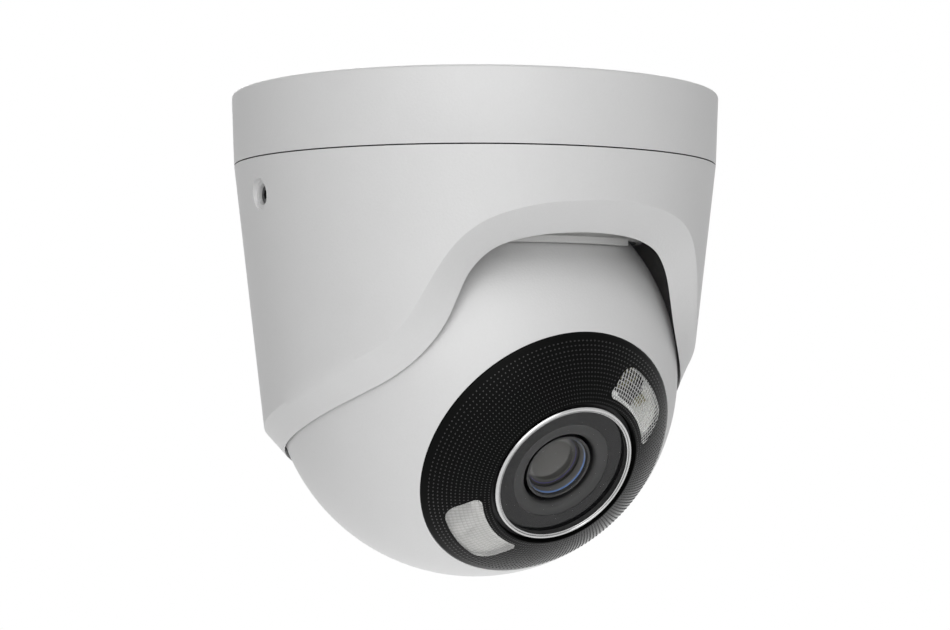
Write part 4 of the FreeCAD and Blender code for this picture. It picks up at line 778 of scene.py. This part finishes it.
for number, angle in enumerate(LIGHT_ANGLES, start=1):
    stands_for = ["light_reflectors"] if number == 1 else []
    cup = add_piece("light_reflector_%d" % number, light_prism(2 * FIT, angle, CUP_LOW), reflector_white,
                    "ball", stands_for)
    carve(cup, [sphere_tool(BALL_R - PLATE - FIT)], "INTERSECT")
    cup.data.materials.append(ir_chip)
    for side in (-1, 1):
        pocket = add_piece("pocket", cell_tool(angle, side), reflector_white, "ball")
        carve(pocket, [light_prism(CELL_INSET, angle)], "INTERSECT")
        tool = bmesh.new()
        tool.from_mesh(pocket.data)
        for face in tool.faces:
            face.material_index = 1 if (angle, side) == DARK_CELL else 0
        bpy.data.objects.remove(pocket)
        carve(cup, [tool])
    cup.data.transform(optical)

# Angle of the light, place off its middle, material, half width and top of each chip.
chips = ((45, 4.2, ir_chip, 2.9, CHIP_TOP), (45, -2.9, yellow_chip, 1.2, CHIP_TOP + 1.0),
         (225, -4.4, pale_chip, 2.8, CHIP_TOP), (225, 4.4, pale_chip, 1.3, CUP_FLOOR + 1.0))
for number, (angle, off_middle, material, half, top) in enumerate(chips, start=1):
    stands_for = ["light_leds"] if number == 1 else []
    add_piece("light_chip_%d" % number, chip_block(angle, off_middle, half, CUP_FLOOR + FIT, top),
              material, "ball", stands_for, optical)


def light_pads(angle, off_middle):
    """Small square emitters in rows on top of a chip."""
    bm = bmesh.new()
    for row in range(-2, 3):
        for column in range(-2, 3):
            centre = Vector((CELL_A + row * PAD_STEP, off_middle + column * PAD_STEP, CHIP_TOP + FIT))
            size = Matrix.Diagonal((2 * PAD_HALF * MM, 2 * PAD_HALF * MM, PAD_THICK * MM, 1))
            bmesh.ops.create_cube(bm, size=1.0, matrix=Matrix.Translation(centre * MM) @ size)
    turn_to(bm, angle)
    return bm


add_piece("emitter_pads", light_pads(*chips[0][:2]), yellow_chip, "ball", place=optical)

# --------------------------------------------------
# Window ring and front glass. A ring of polished steel, turned with a rounded front edge, holds
# the flat glass over the lens. The glass is printed black on its back, outside the clear middle.
# --------------------------------------------------
RING_OUT_R, RING_IN_R, RING_FRONT, GLASS_FRONT, GLASS_THICK = 16.35, 15.25, 42.45, 42.0, 1.1
MASK_R, GLASS_R = 11.4, RING_IN_R - FIT
glass_back = GLASS_FRONT - GLASS_THICK
polished = grained_material("polished_ring", (0.44, 0.44, 0.44), 0.22, metallic=1.0, grain=900.0, relief=0.02,
                            mottle=0.06)
ring_bm = lathe([(RING_IN_R, glass_back), (RING_OUT_R, glass_back), (RING_OUT_R, RING_FRONT - 0.3),
                 (RING_OUT_R - 0.28, RING_FRONT), (RING_IN_R + 0.46, RING_FRONT),
                 (RING_IN_R + 0.36, RING_FRONT - 0.34), (RING_IN_R + 0.2, RING_FRONT - 0.34),
                 (RING_IN_R + 0.14, RING_FRONT - 0.12), (RING_IN_R, RING_FRONT - 0.2)])
soften(ring_bm, 0.05, segments=3, angle=20)
add_piece("window_trim", ring_bm, polished, "ball", ["window_ring"], optical)

window_glass = clear_material("window_glass", (1, 1, 1), 1.01, 0.004)
step_grey = grained_material("step_grey", (0.034, 0.034, 0.034), 0.55, mottle=0.08, shine=0.4)
printed_glass = grained_material("printed_glass", (0.006, 0.006, 0.0065), 0.05, mottle=0.1, shine=0.3)
glass_bm = lathe([(0, glass_back), (MASK_R, glass_back), (GLASS_R, glass_back), (GLASS_R, GLASS_FRONT),
                  (MASK_R, GLASS_FRONT), (0, GLASS_FRONT)])
glass = add_piece("front_glass", glass_bm, window_glass, "ball", ["window_glass"])
paint_faces(glass, printed_glass, lambda face: face.center.xy.length > MASK_R * MM and face.normal.z < -0.5)
paint_faces(glass, step_grey,
            lambda face: face.center.xy.length > MASK_R * MM and -0.5 <= face.normal.z < 0.5)
glass.data.transform(optical)

# --------------------------------------------------
# Lens tube. Black moulded hood behind the glass, fixed in the face's collar. A shallow step with
# a rounded lip, dark grey, leads down to the lens barrel.
# --------------------------------------------------
STEP, TUBE_BORE_R, TUBE_REAR, LIP_ROUND = 0.25, 8.46, 31.4, 1.1
TUBE_OUT_R, TUBE_FRONT = BORE_R - 0.2, glass_back - 0.02
black_matte = grained_material("black_matte", (0.011, 0.011, 0.012), 0.62, mottle=0.1)
lip = arc(LIP_ROUND, 180, 90, 12, (TUBE_BORE_R + LIP_ROUND, glass_back - STEP - LIP_ROUND))
tube_bm = lathe([(MASK_R, TUBE_FRONT), (TUBE_OUT_R, TUBE_FRONT), (TUBE_OUT_R, TUBE_REAR),
                 (TUBE_BORE_R, TUBE_REAR)] + lip + [(MASK_R, glass_back - STEP)])
soften(tube_bm, 0.08, segments=2, angle=40)


def is_step(face):
    """True for the step and the lip of the lens tube."""
    centre = face.center / MM
    return centre.z > glass_back - STEP - LIP_ROUND and centre.xy.length < MASK_R + 0.02


tube = add_piece("lens_hood", tube_bm, black_matte, "ball", ["lens_tube"])
paint_faces(tube, step_grey, is_step)
tube.data.transform(optical)

# --------------------------------------------------
# Lens. A black anodised M12 barrel in its holder, with three glasses. The front glass is coated;
# its violet and blue rims are painted reflections of the coating, strongest to one side. A threaded
# ring holds it. The boards and filter lie behind.
# --------------------------------------------------
BARREL_R, BARREL_FRONT, BARREL_SHOULDER, THREAD_R, BARREL_REAR = 7.6, 39.6, 33.0, 6.0, 15.0
BARREL_BORE_R, BARREL_SEAT, REAR_BORE_R, BARREL_GREY_FROM = 7.0, 34.6, 4.5, 36.0
THREAD_PITCH, THREAD_DEPTH = 0.5, 0.27
black_metal = grained_material("black_metal", (0.018, 0.018, 0.02), 0.32, metallic=0.4, mottle=0.12)
barrel_profile = [(BARREL_BORE_R, BARREL_FRONT - 0.25), (BARREL_BORE_R + 0.1, BARREL_FRONT),
                  (BARREL_R, BARREL_FRONT), (BARREL_R, BARREL_SHOULDER), (THREAD_R, BARREL_SHOULDER)]
for crest in np.arange(BARREL_SHOULDER - 0.5, BARREL_REAR + 0.5, -THREAD_PITCH):
    barrel_profile += [(THREAD_R, crest), (THREAD_R - THREAD_DEPTH, crest - THREAD_PITCH / 2)]
barrel_profile += [(THREAD_R, BARREL_REAR), (REAR_BORE_R, BARREL_REAR), (REAR_BORE_R, BARREL_SEAT),
                   (BARREL_BORE_R, BARREL_SEAT)]
barrel_bm = lathe(barrel_profile, steps=96)
barrel = add_piece("lens_body", barrel_bm, black_metal, "ball", ["lens_barrel"])
paint_faces(barrel, step_grey, lambda face: face.center.z > BARREL_GREY_FROM * MM
            and face.center.xy.length < (BARREL_R - 0.05) * MM)
barrel.data.transform(optical)

PAINTED_RING_REACH, REFLECTION_SIDE, WEAK_SIDE = 8.0, Vector((0.62, -0.78, 0)), 0.15


def vector_step(tree, operation, source, other=(0, 0, 0)):
    """One step of vector arithmetic."""
    node = tree.nodes.new("ShaderNodeVectorMath")
    node.operation = operation
    node.inputs[1].default_value = other
    tree.links.new(source, node.inputs[0])
    return node.outputs


def glass_with_painted_rims(name, rings, plain):
    """Glass with painted reflections of its coating: coloured rings about the axis, strongest to one side,
    over the plain glass.
    """
    material = grained_material(name, plain[0][1], 0.07, mottle=0.1)
    tree = material.node_tree
    shader = tree.nodes["Principled BSDF"]
    local = tree.nodes.new("ShaderNodeMapping")
    local.vector_type = "TEXTURE"
    local.inputs["Location"].default_value = optical.to_translation()
    local.inputs["Rotation"].default_value = optical.to_euler()
    local.inputs["Scale"].default_value = (PAINTED_RING_REACH * MM,) * 3
    tree.links.new(object_coordinates(tree), local.inputs["Vector"])
    across = vector_step(tree, "MULTIPLY", local.outputs["Vector"], (1, 1, 0))["Vector"]
    from_axis = vector_step(tree, "LENGTH", across)["Value"]
    to_side = vector_step(tree, "DOT_PRODUCT", across, REFLECTION_SIDE)["Value"]
    mix = tree.nodes.new("ShaderNodeMix")
    mix.data_type = "RGBA"
    side_mask = ramp_between(tree, to_side, ((0.0, (WEAK_SIDE,) * 3), (0.55, (1,) * 3)))
    tree.links.new(side_mask, mix.inputs["Factor"])
    for colours, socket in ((plain, "A"), (rings, "B")):
        stops = [(radius / PAINTED_RING_REACH, colour) for radius, colour in colours]
        tree.links.new(ramp_between(tree, from_axis, stops), mix.inputs[socket])
    tree.links.new(mix.outputs["Result"], shader.inputs["Base Color"])
    return material


GLASS_GREY, GLASS_DARK = (0.062, 0.06, 0.055), (0.12, 0.12, 0.115)
VIOLET, BLUE = (0.14, 0.12, 0.42), (0.06, 0.18, 0.50)
plain_stops = ((4.8, GLASS_GREY), (5.1, GLASS_DARK), (6.9, GLASS_DARK))
# The violet and blue rings are painted reflections, not colours of the glass.
lens_painted_rims = glass_with_painted_rims("lens_glass", ((4.6, GLASS_GREY), (4.9, GLASS_DARK), (5.6, GLASS_DARK),
                                           (5.8, VIOLET), (6.0, GLASS_DARK)), plain_stops)
rim_painted_reflection = glass_with_painted_rims("lens_rim_painted_reflection", ((6.55, GLASS_DARK), (6.72, BLUE), (6.9, GLASS_DARK)), plain_stops)

retainer_bm = lathe([(6.3, 37.3), (6.3, 37.6), (6.6, 38.7), (6.8, 38.9), (6.95, 38.9), (6.95, 37.3)],
                    steps=128)
soften(retainer_bm, 0.06, segments=2, angle=30)
add_piece("front_retainer", retainer_bm, rim_painted_reflection, "ball", ["lens_retainer"], optical)

ELEMENT_R, ELEMENT_BACK, ELEMENT_RIM, ELEMENT_RISE = 6.9, 35.9, 36.35, 1.2
element_profile = [(0, ELEMENT_BACK), (ELEMENT_R, ELEMENT_BACK), (ELEMENT_R, ELEMENT_RIM)]
for r in np.linspace(ELEMENT_R - 0.1, 0, 24):
    element_profile.append((r, ELEMENT_RIM + (1 - (r / ELEMENT_R) ** 2) * ELEMENT_RISE))
element_bm = lathe(element_profile, steps=160)
add_piece("front_lens", element_bm, lens_painted_rims, "ball", ["front_element"], optical)

board_black = grained_material("board_black", (0.02, 0.02, 0.022), 0.5)
board_green = grained_material("board_green", (0.02, 0.16, 0.07), 0.4)
filter_glass = grained_material("filter_glass", (0.10, 0.22, 0.24), 0.1)
copper_coil = brushed_metal("copper_coil", (0.72, 0.40, 0.24), 0.35)
chip_black = grained_material("chip_black", (0.03, 0.03, 0.032), 0.45)
thermal_sheet = grained_material("thermal_sheet", (0.35, 0.40, 0.50), 0.8)
bare_aluminium = brushed_metal("bare_aluminium", (0.80, 0.80, 0.80), 0.4)
ribbon_white = grained_material("ribbon_white", (0.75, 0.75, 0.72), 0.5)
finish_nodes(lens_painted_rims, "inner_element", "rear_element")
finish_nodes(black_metal, "lens_lock_ring")
finish_nodes(black_matte, "lens_holder", "filter_carriage")
finish_nodes(filter_glass, "filter_glasses")
finish_nodes(copper_coil, "filter_coil")
finish_nodes(board_black, "light_board")
finish_nodes(board_green, "sensor_board", "main_board")
finish_nodes(chip_black, "image_sensor", "processor", "memory_card")
finish_nodes(zinc_steel, "board_standoffs", "sensor_board_screws", "main_board_screws")
finish_nodes(thermal_sheet, "thermal_pad")
finish_nodes(bare_aluminium, "heat_spreader", "card_socket")
finish_nodes(ribbon_white, "ribbon_sockets", "light_ribbon")

# --------------------------------------------------
# Studio. A white surround, a pale floor well below the camera that is open from beneath, two
# soft lamps on the viewer's side, a weak one from below and one from behind.
# --------------------------------------------------
VIEW_TURN = math.radians(30.8)
VIEW_DISTANCE, VIEW_HEIGHT, VIEW_RISE, LENS_LENGTH = 0.421554, -0.05493, 0.0138, 70.16
FLOOR_Z, FLOOR_R, FLOOR_GLOW, FLOOR_SEEN, AMBIENT = -0.40, 1.3, 0.3, 0.58, 0.05
# Bearing from the front and rise in degrees, distance and size in metres, power in watts.
LAMPS = (("key", 31, 20, 1.2, 1.4, 9.4), ("top", 31, 55, 1.2, 0.6, 2.2), ("under", 31, -89, 0.3, 0.35, 0.09),
         ("back", 205, 25, 1.2, 0.8, 5.0))

camera_data = bpy.data.cameras.new("camera")
camera_data.lens = LENS_LENGTH
camera_data.sensor_width = 36.0
camera_data.clip_start = 0.01
camera = new_object("camera", camera_data)
forward = Vector((math.sin(VIEW_TURN), math.cos(VIEW_TURN), VIEW_RISE)).normalized()
camera.location = (-VIEW_DISTANCE * math.sin(VIEW_TURN), -VIEW_DISTANCE * math.cos(VIEW_TURN), VIEW_HEIGHT)
camera.rotation_euler = forward.to_track_quat("-Z", "Y").to_euler()
bpy.context.scene.camera = camera


def seen_directly(tree):
    """One for rays from the eye, from gloss and through glass."""
    rays = tree.nodes.new("ShaderNodeLightPath")
    eye = math_node(tree, "MAXIMUM", rays.outputs["Is Camera Ray"], rays.outputs["Is Glossy Ray"])
    return math_node(tree, "MAXIMUM", eye, rays.outputs["Is Transmission Ray"])


world = bpy.data.worlds.new("studio")
bpy.context.scene.world = world
world.use_nodes = True
world_tree = world.node_tree
surround = world_tree.nodes["Background"]
surround.inputs["Color"].default_value = (1, 1, 1, 1)
level = math_node(world_tree, "MULTIPLY", seen_directly(world_tree), 1 - AMBIENT)
world_tree.links.new(math_node(world_tree, "ADD", level, AMBIENT), surround.inputs["Strength"])

floor_bm = bmesh.new()
bmesh.ops.create_circle(floor_bm, cap_ends=True, segments=96, radius=FLOOR_R,
                        matrix=Matrix.Translation((0, 0, FLOOR_Z)))
floor_mesh = bpy.data.meshes.new("floor")
floor_bm.to_mesh(floor_mesh)
floor_bm.free()
floor_paint, floor_tree, floor_shader = new_material("floor_paint")
floor_shader.inputs["Base Color"].default_value = (0.8, 0.8, 0.8, 1)
floor_shader.inputs["Roughness"].default_value = 0.9
floor_shader.inputs["Specular IOR Level"].default_value = 0.0
floor_shader.inputs["Emission Color"].default_value = (1, 1, 1, 1)
floor_level = math_node(floor_tree, "MULTIPLY", seen_directly(floor_tree), FLOOR_SEEN)
floor_glow = math_node(floor_tree, "ADD", floor_level, FLOOR_GLOW)
floor_tree.links.new(floor_glow, floor_shader.inputs["Emission Strength"])
floor_side = floor_tree.nodes.new("ShaderNodeNewGeometry")
mix_shaders(floor_tree, floor_side.outputs["Backfacing"], floor_shader,
            floor_tree.nodes.new("ShaderNodeBsdfTransparent"))
floor_mesh.materials.append(floor_paint)
floor = new_object("floor", floor_mesh)


def soft_lamp(name, turn, rise, distance, size, watts):
    """Round soft lamp that points at the object, placed by its bearing from the front and its rise."""
    data = bpy.data.lights.new(name, "AREA")
    data.shape = "DISK"
    data.size = size
    data.energy = watts
    lamp = new_object(name, data)
    turn, rise = math.radians(turn), math.radians(rise)
    toward = Vector((-math.sin(turn) * math.cos(rise), -math.cos(turn) * math.cos(rise), math.sin(rise)))
    lamp.location = Vector((0, 0, VIEW_HEIGHT)) + toward * distance
    lamp.rotation_euler = toward.to_track_quat("Z", "Y").to_euler()
    lamp.visible_camera = False
    lamp.visible_transmission = False


for lamp_values in LAMPS:
    soft_lamp(*lamp_values)

bpy.context.scene.view_settings.view_transform = "Standard"
